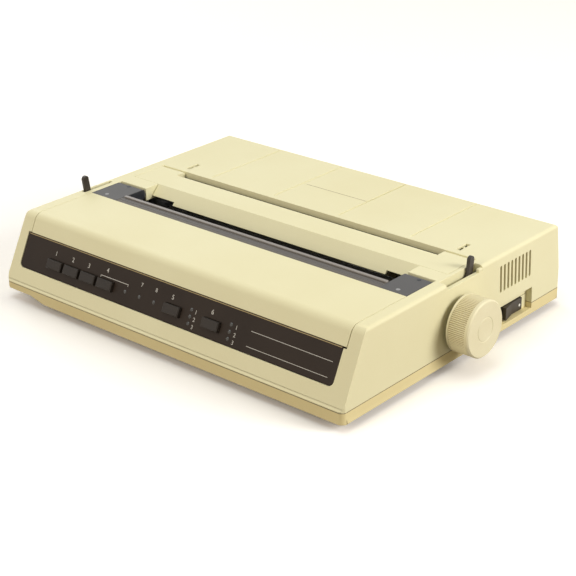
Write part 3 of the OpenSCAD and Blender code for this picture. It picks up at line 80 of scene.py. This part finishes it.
finishes = {
    "upperShell": {"colour": (0.790, 0.765, 0.520), "tint": (0.735, 0.695, 0.450), "rough": (0.44, 0.58),
                   "cloud": 9, "grain": 2600, "bump": 0.10, "spec": 0.35},
    "lowerShell": {"colour": (0.790, 0.700, 0.400), "tint": (0.720, 0.620, 0.330), "rough": (0.50, 0.64),
                   "cloud": 11, "grain": 2600, "bump": 0.10, "spec": 0.22},
    "knobPlastic": {"colour": (0.790, 0.750, 0.530), "tint": (0.720, 0.665, 0.450), "rough": (0.40, 0.52),
                    "cloud": 40, "grain": 2400, "bump": 0.06, "spec": 0.35},
    "panelPlastic": {"colour": (0.023, 0.015, 0.010), "tint": (0.033, 0.023, 0.016), "rough": (0.40, 0.50),
                     "cloud": 24, "grain": 3200, "bump": 0.05, "spec": 0.16},
    "keyPlastic": {"colour": (0.017, 0.012, 0.008), "tint": (0.029, 0.021, 0.015), "rough": (0.48, 0.62),
                   "cloud": 60, "grain": 3000, "bump": 0.12, "spec": 0.30},
    "leverPlastic": {"colour": (0.022, 0.016, 0.011), "tint": (0.036, 0.027, 0.020), "rough": (0.34, 0.50),
                     "cloud": 70, "grain": 2000, "bump": 0.06, "spec": 0.4},
    "slatePlastic": {"colour": (0.062, 0.061, 0.062), "tint": (0.082, 0.081, 0.082), "rough": (0.40, 0.52),
                     "cloud": 45, "grain": 2600, "bump": 0.08, "spec": 0.35},
    "rubberFoot": {"colour": (0.018, 0.018, 0.018), "tint": (0.034, 0.033, 0.032), "rough": (0.70, 0.86),
                   "cloud": 80, "grain": 1500, "bump": 0.18, "spec": 0.3},
    "rollerRubber": {"colour": (0.020, 0.020, 0.022), "tint": (0.045, 0.044, 0.044), "rough": (0.55, 0.75),
                     "cloud": 30, "grain": 1400, "bump": 0.12, "spec": 0.35, "stretch": (1, 6, 6)},
    "gearNylon": {"colour": (0.760, 0.750, 0.680), "tint": (0.640, 0.610, 0.520), "rough": (0.34, 0.48),
                  "cloud": 90, "grain": 1800, "bump": 0.05, "spec": 0.5},
    "zincSteel": {"colour": (0.520, 0.530, 0.550), "tint": (0.400, 0.405, 0.400), "rough": (0.26, 0.44),
                  "cloud": 35, "grain": 900, "bump": 0.05, "metal": 1, "stretch": (1, 9, 9)},
    "groundSteel": {"colour": (0.600, 0.605, 0.620), "tint": (0.480, 0.485, 0.490), "rough": (0.16, 0.28),
                    "cloud": 60, "grain": 1600, "bump": 0.03, "metal": 1, "stretch": (12, 1, 1)},
    "brassCut": {"colour": (0.720, 0.520, 0.210), "tint": (0.560, 0.380, 0.140), "rough": (0.22, 0.38),
                 "cloud": 120, "grain": 1500, "bump": 0.04, "metal": 1},
    "castAluminium": {"colour": (0.480, 0.485, 0.490), "tint": (0.330, 0.335, 0.340), "rough": (0.38, 0.55),
                      "cloud": 80, "grain": 1300, "bump": 0.14, "metal": 1},
    "inkedRibbon": {"colour": (0.012, 0.012, 0.015), "tint": (0.030, 0.030, 0.036), "rough": (0.72, 0.90),
                    "cloud": 200, "grain": 4200, "bump": 0.25, "spec": 0.2},
    "boardGreen": {"colour": (0.020, 0.055, 0.022), "tint": (0.030, 0.085, 0.034), "rough": (0.34, 0.48),
                   "cloud": 160, "grain": 700, "bump": 0.10, "spec": 0.5},
    "coreLacquer": {"colour": (0.070, 0.055, 0.045), "tint": (0.130, 0.105, 0.080), "rough": (0.35, 0.55),
                    "cloud": 90, "grain": 1200, "bump": 0.20, "spec": 0.5, "stretch": (1, 1, 14)},
    "platedShell": {"colour": (0.620, 0.600, 0.520), "tint": (0.480, 0.450, 0.370), "rough": (0.22, 0.36),
                    "cloud": 90, "grain": 1500, "bump": 0.04, "metal": 1},
    "lampLens": {"colour": (0.044, 0.040, 0.034), "tint": (0.066, 0.061, 0.052), "rough": (0.20, 0.30),
                 "cloud": 300, "grain": 2500, "bump": 0.03, "spec": 0.6},
    "markInk": {"colour": (0.560, 0.550, 0.520), "tint": (0.470, 0.460, 0.430), "rough": (0.50, 0.62),
                "cloud": 220, "grain": 3000, "bump": 0.04, "spec": 0.4},
    "dotPaint": {"colour": (0.820, 0.820, 0.800), "tint": (0.700, 0.700, 0.680), "rough": (0.40, 0.52),
                 "cloud": 260, "grain": 3000, "bump": 0.04, "spec": 0.4},
    "pinGrey": {"colour": (0.300, 0.310, 0.325), "tint": (0.220, 0.225, 0.235), "rough": (0.30, 0.42),
                "cloud": 200, "grain": 2600, "bump": 0.05, "spec": 0.5},
    # painted shade: very dark slate standing for the shade in the plates' slot and holes
    "slateShadePaint": {"colour": (0.014, 0.016, 0.022), "tint": (0.020, 0.023, 0.030), "rough": (0.40, 0.55),
                  "cloud": 200, "grain": 2600, "bump": 0.05, "spec": 0.4},
    "smokedStrip": {"colour": (0.090, 0.080, 0.066), "tint": (0.125, 0.113, 0.094), "rough": (0.30, 0.42),
                    "cloud": 60, "grain": 900, "bump": 0.05, "spec": 0.4, "alpha": 0.92,
                    "stretch": (0.05, 9, 9)},
    # tear bar grey, lightened partly as a painted highlight on its lit face
    "ridgeGreyAndHighlight": {"colour": (0.230, 0.215, 0.205), "tint": (0.290, 0.272, 0.258), "rough": (0.34, 0.46),
                  "cloud": 80, "grain": 1600, "bump": 0.05, "spec": 0.4, "stretch": (0.2, 4, 4)},
    "trimTan": {"colour": (0.420, 0.330, 0.170), "tint": (0.340, 0.260, 0.130), "rough": (0.45, 0.60),
                "cloud": 60, "grain": 2600, "bump": 0.05, "spec": 0.3},
    # painted shade seen inside the side vents
    "ventShadeBrown": {"colour": (0.215, 0.150, 0.070), "tint": (0.170, 0.118, 0.055), "rough": (0.60, 0.75),
                  "cloud": 60, "grain": 2600, "bump": 0.05, "spec": 0.2},
    "bandSmoke": {"colour": (0.042, 0.035, 0.028), "tint": (0.080, 0.069, 0.057), "rough": (0.24, 0.34),
                  "cloud": 60, "grain": 900, "bump": 0.06, "spec": 0.45, "stretch": (0.05, 12, 12)},
    # painted shade for the bottoms of the knob's grooves
    "grooveShadePaint": {"colour": (0.430, 0.350, 0.190), "tint": (0.360, 0.285, 0.145), "rough": (0.55, 0.70),
                   "cloud": 60, "grain": 2600, "bump": 0.05, "spec": 0.2},
    # painted shade for the dark lines in the case's joints
    "seamShade": {"colour": (0.350, 0.285, 0.170), "tint": (0.280, 0.225, 0.130), "rough": (0.60, 0.75),
                  "cloud": 60, "grain": 2600, "bump": 0.05, "spec": 0.2},
}
noises = {
    "cloudDetail": 5, "cloudSpan": (0.35, 0.7), "cloudShare": 0.55,
    "grainDetail": 2, "grainSpan": (0.62, 0.35), "grainShare": 0.35,
    "roughSpan": (0.3, 0.7), "bumpDepth": 0.0002,
}
madeFinishes = {}


def noiseNode(nodes, links, mapping, scale, detail):
    noise = nodes.new("ShaderNodeTexNoise")
    noise.inputs["Scale"].default_value = scale
    noise.inputs["Detail"].default_value = detail
    links.new(mapping.outputs["Vector"], noise.inputs["Vector"])
    return noise.outputs["Fac"]


def spanNode(nodes, links, source, fromSpan, toSpan=(0, 1)):
    span = nodes.new("ShaderNodeMapRange")
    span.inputs["From Min"].default_value, span.inputs["From Max"].default_value = fromSpan
    span.inputs["To Min"].default_value, span.inputs["To Max"].default_value = toSpan
    links.new(source, span.inputs["Value"])
    return span.outputs["Result"]


def finishOf(name):
    if name in madeFinishes:
        return madeFinishes[name]
    look = finishes[name]
    mat = bpy.data.materials.new(name)
    mat.use_nodes = True
    nodes, links = mat.node_tree.nodes, mat.node_tree.links
    shader = nodes["Principled BSDF"]
    shader.inputs["Metallic"].default_value = look.get("metal", 0)
    shader.inputs["Specular IOR Level"].default_value = look.get("spec", 0.5)
    shader.inputs["Alpha"].default_value = look.get("alpha", 1)
    coords = nodes.new("ShaderNodeTexCoord")
    mapping = nodes.new("ShaderNodeMapping")
    mapping.inputs["Scale"].default_value = look.get("stretch", (1, 1, 1))
    links.new(coords.outputs["Object"], mapping.inputs["Vector"])
    # the cloud is a slow change over the piece, the grain its fine moulded or ground surface
    cloud = noiseNode(nodes, links, mapping, look["cloud"], noises["cloudDetail"])
    grain = noiseNode(nodes, links, mapping, look["grain"], noises["grainDetail"])

    # the second colour comes where the cloud is high and the grain low
    shade = spanNode(nodes, links, cloud, noises["cloudSpan"])
    speck = spanNode(nodes, links, grain, noises["grainSpan"], (0, noises["grainShare"]))
    part = nodes.new("ShaderNodeMath")
    part.operation = "MULTIPLY"
    part.inputs[1].default_value = noises["cloudShare"]
    links.new(shade, part.inputs[0])
    total = nodes.new("ShaderNodeMath")
    total.operation, total.use_clamp = "ADD", True
    links.new(part.outputs[0], total.inputs[0])
    links.new(speck, total.inputs[1])
    mix = nodes.new("ShaderNodeMix")
    mix.data_type = "RGBA"
    mix.inputs["A"].default_value = (*look["colour"], 1)
    mix.inputs["B"].default_value = (*look["tint"], 1)
    links.new(total.outputs[0], mix.inputs["Factor"])
    links.new(mix.outputs["Result"], shader.inputs["Base Color"])

    rough = spanNode(nodes, links, cloud, noises["roughSpan"], look["rough"])
    links.new(rough, shader.inputs["Roughness"])
    bump = nodes.new("ShaderNodeBump")
    bump.inputs["Strength"].default_value = look["bump"]
    bump.inputs["Distance"].default_value = noises["bumpDepth"]
    links.new(grain, bump.inputs["Height"])
    links.new(bump.outputs["Normal"], shader.inputs["Normal"])
    madeFinishes[name] = mat
    return mat


def paint(piece, name):
    piece.data.materials.clear()
    piece.data.materials.append(finishOf(name))


# nodes that keep their CAD form

keptNodes = {
    "zincSteel": ["chassis_tray", "side_frame_left", "side_frame_right", "paper_pan", "guide_rail",
                  "line_feed_motor", "carriage_motor", "bail_frame", "pressure_shaft", "case_screws"],
    "groundSteel": ["platen_shaft", "tractor_shaft", "tractor_bar", "carriage_shaft"],
    "gearNylon": ["platen_bushes", "platen_gear", "tractor_gear", "middle_gear", "motor_pulley",
                  "idler_pulley"],
    "brassCut": ["motor_pinion"],
    "rollerRubber": ["platen_roller", "pressure_rollers", "bail_rollers", "timing_belt"],
    "keyPlastic": ["sprocket_wheels", "tractor_guides", "carriage", "ribbon_cartridge", "switch_body",
                   "power_inlet"],
    "castAluminium": ["print_head"],
    "inkedRibbon": ["ink_ribbon"],
    "knobPlastic": ["ribbon_knob"],
    "boardGreen": ["panel_board", "main_board"],
    "coreLacquer": ["transformer"],
    "platedShell": ["interface_connector"],
    "lampLens": ["indicator_lenses"],
    "smokedStrip": ["cover_window"],
}
for finishName, nodeNames in keptNodes.items():
    for nodeName in nodeNames:
        paint(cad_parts[nodeName], finishName)
print("stage: CAD nodes painted")


# shaping helpers

shaping = {
    "merge": 0.00001, "flat": 0.1, "smooth": 35,        # metres; degrees below which faces join or shade as one
    "edgeAngle": 40, "edgeSteps": 2, "normalWeight": 60,
    "discSides": 32, "fineSteps": 3,
    "discRound": 0.4, "discLift": 0.4,      # a disc's round and its middle's lift, shares of its height
}


def selectOnly(*pieces):
    bpy.ops.object.select_all(action="DESELECT")
    for piece in pieces:
        piece.select_set(True)
    bpy.context.view_layer.objects.active = pieces[0]


def applyModifiers(piece):
    selectOnly(piece)
    for modifier in list(piece.modifiers):
        bpy.ops.object.modifier_apply(modifier=modifier.name)


def settle(piece):
    # the piece's place goes into its mesh
    selectOnly(piece)
    bpy.ops.object.transform_apply(location=True, rotation=True, scale=True)


def finishPiece(piece, name, body, finishName):
    piece.name = name
    settle(piece)
    paint(piece, finishName)
    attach(piece, body)
    return piece


def smoothUpTo(degrees):
    bpy.ops.object.shade_smooth_by_angle(angle=math.radians(degrees))


def copyOf(source):
    piece = source.copy()
    piece.data = source.data.copy()
    bpy.context.collection.objects.link(piece)
    return piece


def softEdged(nodeName, edge):
    # a merged copy of a CAD node whose sharp edges get a small round
    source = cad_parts[nodeName]
    piece = copyOf(source)
    piece.parent = None
    piece.matrix_world = Matrix.Identity(4)
    selectOnly(piece)
    bpy.ops.object.mode_set(mode="EDIT")
    bpy.ops.mesh.select_all(action="SELECT")
    bpy.ops.mesh.customdata_custom_splitnormals_clear()
    bpy.ops.mesh.remove_doubles(threshold=shaping["merge"])
    bpy.ops.mesh.dissolve_limited(angle_limit=math.radians(shaping["flat"]))
    bpy.ops.object.mode_set(mode="OBJECT")
    smoothUpTo(edge.get("smooth", shaping["smooth"]))
    if edge["width"] == 0:
        return piece
    rounding = piece.modifiers.new("edges", "BEVEL")
    rounding.width = edge["width"] * mm
    rounding.segments = edge.get("steps", shaping["edgeSteps"])
    rounding.limit_method = "ANGLE"
    rounding.angle_limit = math.radians(shaping["edgeAngle"])
    rounding.use_clamp_overlap = False
    rounding.miter_outer = "MITER_SHARP"
    normals = piece.modifiers.new("normals", "WEIGHTED_NORMAL")
    normals.weight = shaping["normalWeight"]
    normals.keep_sharp = True
    applyModifiers(piece)
    # no rounded corner leaves the node's own box
    low, high = source.bound_box[0], source.bound_box[6]
    for vertex in piece.data.vertices:
        vertex.co = [min(max(value, least), most) for value, least, most in zip(vertex.co, low, high)]
    return piece


roundedNodes = [
    ("upper_case", "upperCase", "case", "upper_shell", "upperShell", {"width": 0.22}),
    ("lower_case", "lowerCase", "case", "lower_shell", "lowerShell", {"width": 0.22}),
    ("rear_cover", "rearCover", "case", "upper_shell", "upperShell", {"width": 0.15}),
    ("access_cover", "accessCover", "cover", "upper_shell", "upperShell", {"width": 0.25}),
    ("cover_end_plates", "endPlates", "cover", "slate", "slatePlastic", {"width": 0.3}),
    ("paper_flap", "paperFlap", "flap", "upper_shell", "upperShell", {"width": 0.25}),
    ("control_panel", "frontPanel", "case", "dark_panel", "panelPlastic", {"width": 0.15}),
    ("bail_lever", "bailLever", "bail", "key_black", "leverPlastic", {"width": 0.5, "steps": 3}),
    ("release_lever", "releaseLever", "release", "key_black", "leverPlastic", {"width": 0.5, "steps": 3}),
    ("paper_knob", "paperKnob", "platen", "knob", "knobPlastic", {"width": 0, "smooth": 18}),
    ("power_rocker", "powerRocker", "rocker", "key_black", "leverPlastic", {"width": 0.4, "steps": 3}),
    ("rubber_feet", "rubberFeet", "case", "foot", "rubberFoot", {"width": 0.3}),
]
for keyName in ("line_feed", "form_feed", "top_set", "online", "pitch", "style"):
    roundedNodes.append((keyName + "_key", keyName.replace("_", "") + "Key", keyName + "_key", "key_black",
                         "keyPlastic", {"width": 0.35, "steps": 3}))
for nodeName, name, body, slotName, finishName, edge in roundedNodes:
    piece = softEdged(nodeName, edge)
    finishPiece(piece, name, body, finishName)
    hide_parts(nodeName)
print("stage: rounded shells made")


# marks on the front panel: plain numbers, rules and bars, x and y along the panel

panel = {
    "foot": (1.0, 17.6), "slope": 26.5,         # depth and height of the lower edge, degrees off upright
    "face": -0.4, "thick": 0.06,
    "keyRow": 23.4, "keys": [-131.3, -111.1, -92.4, -71.1, 1.7, 43.1],
    "keyDigit": 7.6, "bracketKey": 3, "bracketDigit": 9.4,      # how far the digits stand above the row
    "lamps": [-32, -16.2], "lampDigit": 8.4,
    "columns": [27.5, 68.8], "columnMiddle": -2.6, "columnStep": 5.7,
    "digitSize": 5.2, "smallDigit": 4.4, "boldness": 0.007,
    "bracket": [(-61.6, 6.1, 31.2, 0.5), (-77, 5.4, 0.5, 1.8), (-46.2, 5.4, 0.5, 1.8)],
    "rules": [(121, 6.1, 76.5, 0.42), (120.2, -5.5, 76.5, 0.42)],
    "trim": (-2.2, 41.2, 331, 0.62),
}
panelPlace = (Matrix.Translation(place(0, *panel["foot"]))
              @ Matrix.Rotation(math.radians(90 - panel["slope"]), 4, "X"))


def onPanel(x, y):
    return panelPlace @ Matrix.Translation((x * mm, y * mm, (panel["face"] + panel["thick"] / 2) * mm))


def strip(x, y, width, height):
    # one printed bar, flat on the panel
    bpy.ops.object.select_all(action="DESELECT")
    bpy.ops.mesh.primitive_cube_add(size=1)
    bar = bpy.context.active_object
    bar.matrix_world = onPanel(x, y) @ Matrix.Diagonal((width * mm, height * mm, panel["thick"] * mm, 1))
    settle(bar)
    return bar


def digit(text, x, y, size):
    bpy.ops.object.select_all(action="DESELECT")
    bpy.ops.object.text_add()
    word = bpy.context.active_object
    word.data.body = text
    word.data.size = size * mm
    word.data.align_x = "CENTER"
    word.data.offset = panel["boldness"] * size * mm
    word.data.extrude = panel["thick"] / 2 * mm
    selectOnly(word)
    bpy.ops.object.convert(target="MESH")
    word = bpy.context.active_object
    word.matrix_world = onPanel(x, y)
    settle(word)
    return word


def joined(parts, name, body, slotName, finishName):
    selectOnly(*parts)
    bpy.ops.object.join()
    return finishPiece(bpy.context.active_object, name, body, finishName)


def panelMarks():
    row = panel["keyRow"]
    marks = []
    for k, x in enumerate(panel["keys"]):
        above = panel["bracketDigit"] if k == panel["bracketKey"] else panel["keyDigit"]
        marks.append(digit(str(k + 1), x, row + above, panel["digitSize"]))
    # bracket from the fourth key to the first lamp
    for x, y, width, height in panel["bracket"]:
        marks.append(strip(x, row + y, width, height))
    for k, x in enumerate(panel["lamps"]):
        marks.append(digit(str(len(panel["keys"]) + k + 1), x, row + panel["lampDigit"], panel["smallDigit"]))
    for x in panel["columns"]:
        for step in (-1, 0, 1):
            y = row + panel["columnMiddle"] + step * panel["columnStep"]
            marks.append(digit(str(2 - step), x, y, panel["smallDigit"]))
    # thin rules at the bare place on the right
    for x, y, width, height in panel["rules"]:
        marks.append(strip(x, row + y, width, height))
    joined(marks, "panelMarks", "case", "gear", "markInk")
    # the pale line that edges the panel under the cover's lip
    joined([strip(*panel["trim"])], "panelTrim", "case", "upper_shell", "trimTan")


panelMarks()
print("stage: panel marks made")


# small parts laid on the finished pieces

def surfaceAt(piece, start, toward):
    # where a ray from start meets the piece, with the face's normal
    hit, at, normal, _ = piece.ray_cast(start, toward)
    assert hit, piece.name
    return at, normal


def disc(at, normal, radius, high):
    bpy.ops.object.select_all(action="DESELECT")
    bpy.ops.mesh.primitive_cylinder_add(vertices=shaping["discSides"], radius=radius * mm, depth=high * mm)
    head = bpy.context.active_object
    bevel = head.modifiers.new("edge", "BEVEL")
    bevel.width, bevel.segments = high * shaping["discRound"] * mm, shaping["fineSteps"]
    bevel.limit_method = "ANGLE"
    applyModifiers(head)
    smoothUpTo(shaping["edgeAngle"])
    turned = normal.to_track_quat("Z", "Y").to_matrix().to_4x4()
    head.matrix_world = Matrix.Translation(at + normal * high * shaping["discLift"] * mm) @ turned
    settle(head)
    return head


def block(x, y, z, edge=0):
    # a box by its spans, y counted from the case's front
    bpy.ops.object.select_all(action="DESELECT")
    bpy.ops.mesh.primitive_cube_add(size=1)
    box = bpy.context.active_object
    low, high = place(x[0], y[0], z[0]), place(x[1], y[1], z[1])
    box.matrix_world = Matrix.Translation((low + high) / 2) @ Matrix.Diagonal((*(high - low), 1))
    settle(box)
    if edge > 0:
        bevel = box.modifiers.new("edge", "BEVEL")
        bevel.width, bevel.segments = edge * mm, shaping["fineSteps"]
        applyModifiers(box)
        smoothUpTo(shaping["edgeAngle"])
    return box


# plain boxes by their spans along x, y and z, y counted from the case's front
blocks = [
    # the left plate's inner side is dark beside the ribbon bay: a very dark sheet there is painted shade for
    # the shade in that slot
    {"name": "plateCheek", "as": ("cover", "slate", "slateShadePaint"),
     "spans": [((-136.5, -136.2), (104.5, 119.6), (62, 69.7))]},
    # tear bar along the rear edge of the window strip; its paler grey is partly its own colour and partly a
    # painted highlight on its lit face
    {"name": "tearRidge", "as": ("cover", "slate", "ridgeGreyAndHighlight"), "edge": 0.5,
     "spans": [((-136.2, 141.7), (96.6, 99.6), (69.2, 70.9))]},
    # hooks seen in the two slots of the rear top
    {"name": "slotHooks", "as": ("case", "upper_shell", "upperShell"), "edge": 0.4,
     "spans": [((-144.2, -141.8), (186.6, 188.6), (66, 69.1)), ((145.3, 147.7), (186.6, 188.6), (66, 69.1))]},
    # pad behind the release lever
    {"name": "leverPad", "as": ("case", "upper_shell", "upperShell"), "edge": 0.6,
     "spans": [((175.6, 178.6), (161, 166), (65.3, 68.2))]},
    # plate behind the side vents, seen as the slots' brown bottoms: painted shade for the slots' shaded insides
    {"name": "ventBack", "as": ("case", "lower_shell", "ventShadeBrown"),
     "spans": [((175.9, 176.2), (187, 236), (39, 61))]},
    # front joint of the rear cover: a dark strip there is painted shade for the shade in the gap
    {"name": "coverJointShade", "as": ("case", "upper_shell", "seamShade"),
     "spans": [((-36, 28.5), (214.6, 215.1), (69.9, 70.02))]},
    # beige faces of the switch's ears, flush with the recess
    {"name": "switchEars", "as": ("case", "upper_shell", "upperShell"),
     "spans": [((174.0, 174.4), (189.7, 197.7), (11.5, 22.1)), ((174.0, 174.4), (226.3, 233.8), (11.5, 22.1))]},
]


def laidBlocks():
    for part in blocks:
        boxes = [block(*spans, part.get("edge", 0)) for spans in part["spans"]]
        joined(boxes, part["name"], *part["as"])


band = {"x": (-135.8, 141.3), "y": (90.8, 96.3), "sunk": 0.2, "above": 0.06}


def windowBand():
    # dark band with lengthwise lines, laid on the window strip
    at, _ = surfaceAt(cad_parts["cover_window"], place(0, 93, 90), Vector((0, 0, -1)))
    level = at.z / mm
    box = block(band["x"], band["y"], (level - band["sunk"], level + band["above"]))
    joined([box], "windowBand", "cover", "window", "bandSmoke")


plateDots = {"light": [(-152.9, 92.7), (155.6, 92.5)], "dark": [(-151.4, 116.4), (157.3, 115.3)],
             "radius": 1.7, "high": 0.12}
rockerDot = {"from": (200, 222.6, 16.2), "radius": 1.15, "high": 0.1}


def plateDisc(spot):
    at, normal = surfaceAt(bpy.data.objects["endPlates"], place(*spot, 90), Vector((0, 0, -1)))
    return disc(at, normal, plateDots["radius"], plateDots["high"])


def roundDots():
    joined([plateDisc(spot) for spot in plateDots["light"]], "plateHeads", "cover", "slate", "pinGrey")
    # painted shade: dark discs on the plates stand for the shade inside their holes
    joined([plateDisc(spot) for spot in plateDots["dark"]], "plateHoleShades", "cover", "slate", "slateShadePaint")
    at, normal = surfaceAt(bpy.data.objects["powerRocker"], place(*rockerDot["from"]), Vector((-1, 0, 0)))
    dot = disc(at, normal, rockerDot["radius"], rockerDot["high"])
    joined([dot], "rockerDot", "rocker", "gear", "dotPaint")


knob = {"axis": (-0.0018, 0.036), "from": 173.6, "to": 188.4, "sides": 180, "groove": 21.72,
        "ringIn": 11.5, "ring": 0.5, "ringDeep": 0.3, "facing": 0.99, "within": 0.1}


def grooveShadeTube():
    # painted shade: a dark tube inside the knob's ribbed wall shows as the shade at the bottoms of its grooves
    bpy.ops.object.select_all(action="DESELECT")
    bpy.ops.mesh.primitive_cylinder_add(vertices=knob["sides"], radius=knob["groove"] * mm, depth=1,
                                        end_fill_type="NOTHING")
    tube = bpy.context.active_object
    middle, long = (knob["from"] + knob["to"]) / 2 * mm, (knob["to"] - knob["from"]) * mm
    tube.matrix_world = (Matrix.Translation((middle, *knob["axis"])) @ Matrix.Rotation(math.radians(90), 4, "Y")
                         @ Matrix.Diagonal((1, 1, long, 1)))
    joined([tube], "grooveShadeTube", "platen", "knob", "grooveShadePaint")


def knobRing():
    # fine ring cut into the knob's face
    piece = bpy.data.objects["paperKnob"]
    outer = max(vertex.co.x for vertex in piece.data.vertices)
    selectOnly(piece)
    bpy.ops.object.mode_set(mode="EDIT")
    bpy.ops.mesh.select_all(action="DESELECT")
    bpy.ops.object.mode_set(mode="OBJECT")
    for face in piece.data.polygons:
        face.select = face.center.x > outer - knob["within"] * mm and face.normal.x > knob["facing"]
    bpy.ops.object.mode_set(mode="EDIT")
    bpy.ops.mesh.inset(thickness=knob["ringIn"] * mm)
    for deep in (-knob["ringDeep"], knob["ringDeep"]):
        bpy.ops.mesh.inset(thickness=knob["ring"] * mm, depth=deep * mm)
    bpy.ops.object.mode_set(mode="OBJECT")


seam = {"low": 15.05, "high": 15.34, "out": 0.06}


def seamLine():
    # painted shade: a dark band in the joint of the two case halves stands for the shade in its gap, cut from
    # the lower half's rim
    piece = copyOf(bpy.data.objects["lowerCase"])
    selectOnly(piece)
    bpy.ops.object.mode_set(mode="EDIT")
    for height, top in ((seam["low"], False), (seam["high"], True)):
        bpy.ops.mesh.select_all(action="SELECT")
        bpy.ops.mesh.bisect(plane_co=(0, 0, height * mm), plane_no=(0, 0, 1), use_fill=True,
                            clear_inner=not top, clear_outer=top)
    bpy.ops.mesh.select_all(action="SELECT")
    bpy.ops.transform.shrink_fatten(value=seam["out"] * mm)
    bpy.ops.object.mode_set(mode="OBJECT")
    finishPiece(piece, "seamLine", "case", "seamShade")


laidBlocks()
windowBand()
roundDots()
grooveShadeTube()
knobRing()
seamLine()
print("stage: small parts made")


# floor, lamps and world

stageLook = {
    "floorSize": 4.4, "floor": (1.12, 1.12, 1.14), "floorRough": 0.9, "floorSpec": 0.1,
    "bounce": (0.20, 0.17, 0.13),       # the floor's colour for diffuse light, so little of it comes back
    "worldTint": (1.0, 0.86, 0.68), "world": 0.42,
}
lamps = [
    {"name": "topLamp", "at": (-0.2, -0.25, 2.2), "size": 1.8, "power": 12.5, "tint": (0.82, 0.95, 1.0)},
    {"name": "frontLamp", "at": (-0.1, -2.0, 1.05), "size": 1.3, "power": 17, "tint": (1.0, 0.91, 0.81)},
    {"name": "sideLamp", "at": (2.15, 0.9, 1.05), "size": 1.2, "power": 49, "tint": (1.0, 0.97, 0.92)},
    {"name": "leftLamp", "at": (-2.2, 0.6, 0.9), "size": 1.2, "power": 14, "tint": (0.96, 0.98, 1.0)},
]


def greater(nodes, links, one, other):
    most = nodes.new("ShaderNodeMath")
    most.operation = "MAXIMUM"
    links.new(one, most.inputs[0])
    links.new(other, most.inputs[1])
    return most.outputs[0]


def seenDirectly(nodes, links):
    # 1 for camera, glossy and transmission rays, 0 for diffuse light
    rays = nodes.new("ShaderNodeLightPath").outputs
    mirrored = greater(nodes, links, rays["Is Camera Ray"], rays["Is Glossy Ray"])
    return greater(nodes, links, mirrored, rays["Is Transmission Ray"])


def makeFloor():
    bpy.ops.object.select_all(action="DESELECT")
    bpy.ops.mesh.primitive_plane_add(size=stageLook["floorSize"])
    floor = bpy.context.active_object
    floor.name = "paleFloor"
    mat = bpy.data.materials.new("paleFloor")
    mat.use_nodes = True
    nodes, links = mat.node_tree.nodes, mat.node_tree.links
    shader = nodes["Principled BSDF"]
    shader.inputs["Roughness"].default_value = stageLook["floorRough"]
    shader.inputs["Specular IOR Level"].default_value = stageLook["floorSpec"]
    mix = nodes.new("ShaderNodeMix")
    mix.data_type = "RGBA"
    mix.inputs["A"].default_value = (*stageLook["bounce"], 1)
    mix.inputs["B"].default_value = (*stageLook["floor"], 1)
    links.new(seenDirectly(nodes, links), mix.inputs["Factor"])
    links.new(mix.outputs["Result"], shader.inputs["Base Color"])
    floor.data.materials.append(mat)


def areaLamp(look):
    data = bpy.data.lights.new(look["name"], "AREA")
    data.shape, data.size, data.energy, data.color = "DISK", look["size"], look["power"], look["tint"]
    lamp = bpy.data.objects.new(look["name"], data)
    bpy.context.collection.objects.link(lamp)
    lamp.location = look["at"]
    lamp.rotation_mode = "QUATERNION"
    lamp.rotation_quaternion = (-Vector(look["at"])).to_track_quat("-Z", "Y")


def makeWorld():
    world = bpy.data.worlds.new("studio")
    bpy.context.scene.world = world
    world.use_nodes = True
    nodes, links = world.node_tree.nodes, world.node_tree.links
    ground = nodes["Background"]
    ground.inputs["Color"].default_value = (*stageLook["worldTint"], 1)
    ground.inputs["Strength"].default_value = stageLook["world"]
    white = nodes.new("ShaderNodeBackground")
    white.inputs["Color"].default_value = (1, 1, 1, 1)
    white.inputs["Strength"].default_value = 1
    mix = nodes.new("ShaderNodeMixShader")
    links.new(seenDirectly(nodes, links), mix.inputs[0])
    links.new(ground.outputs[0], mix.inputs[1])
    links.new(white.outputs[0], mix.inputs[2])
    links.new(mix.outputs[0], nodes["World Output"].inputs["Surface"])


makeFloor()
for look in lamps:
    areaLamp(look)
makeWorld()
bpy.context.scene.view_settings.view_transform = "Standard"
print("stage: light and floor made")
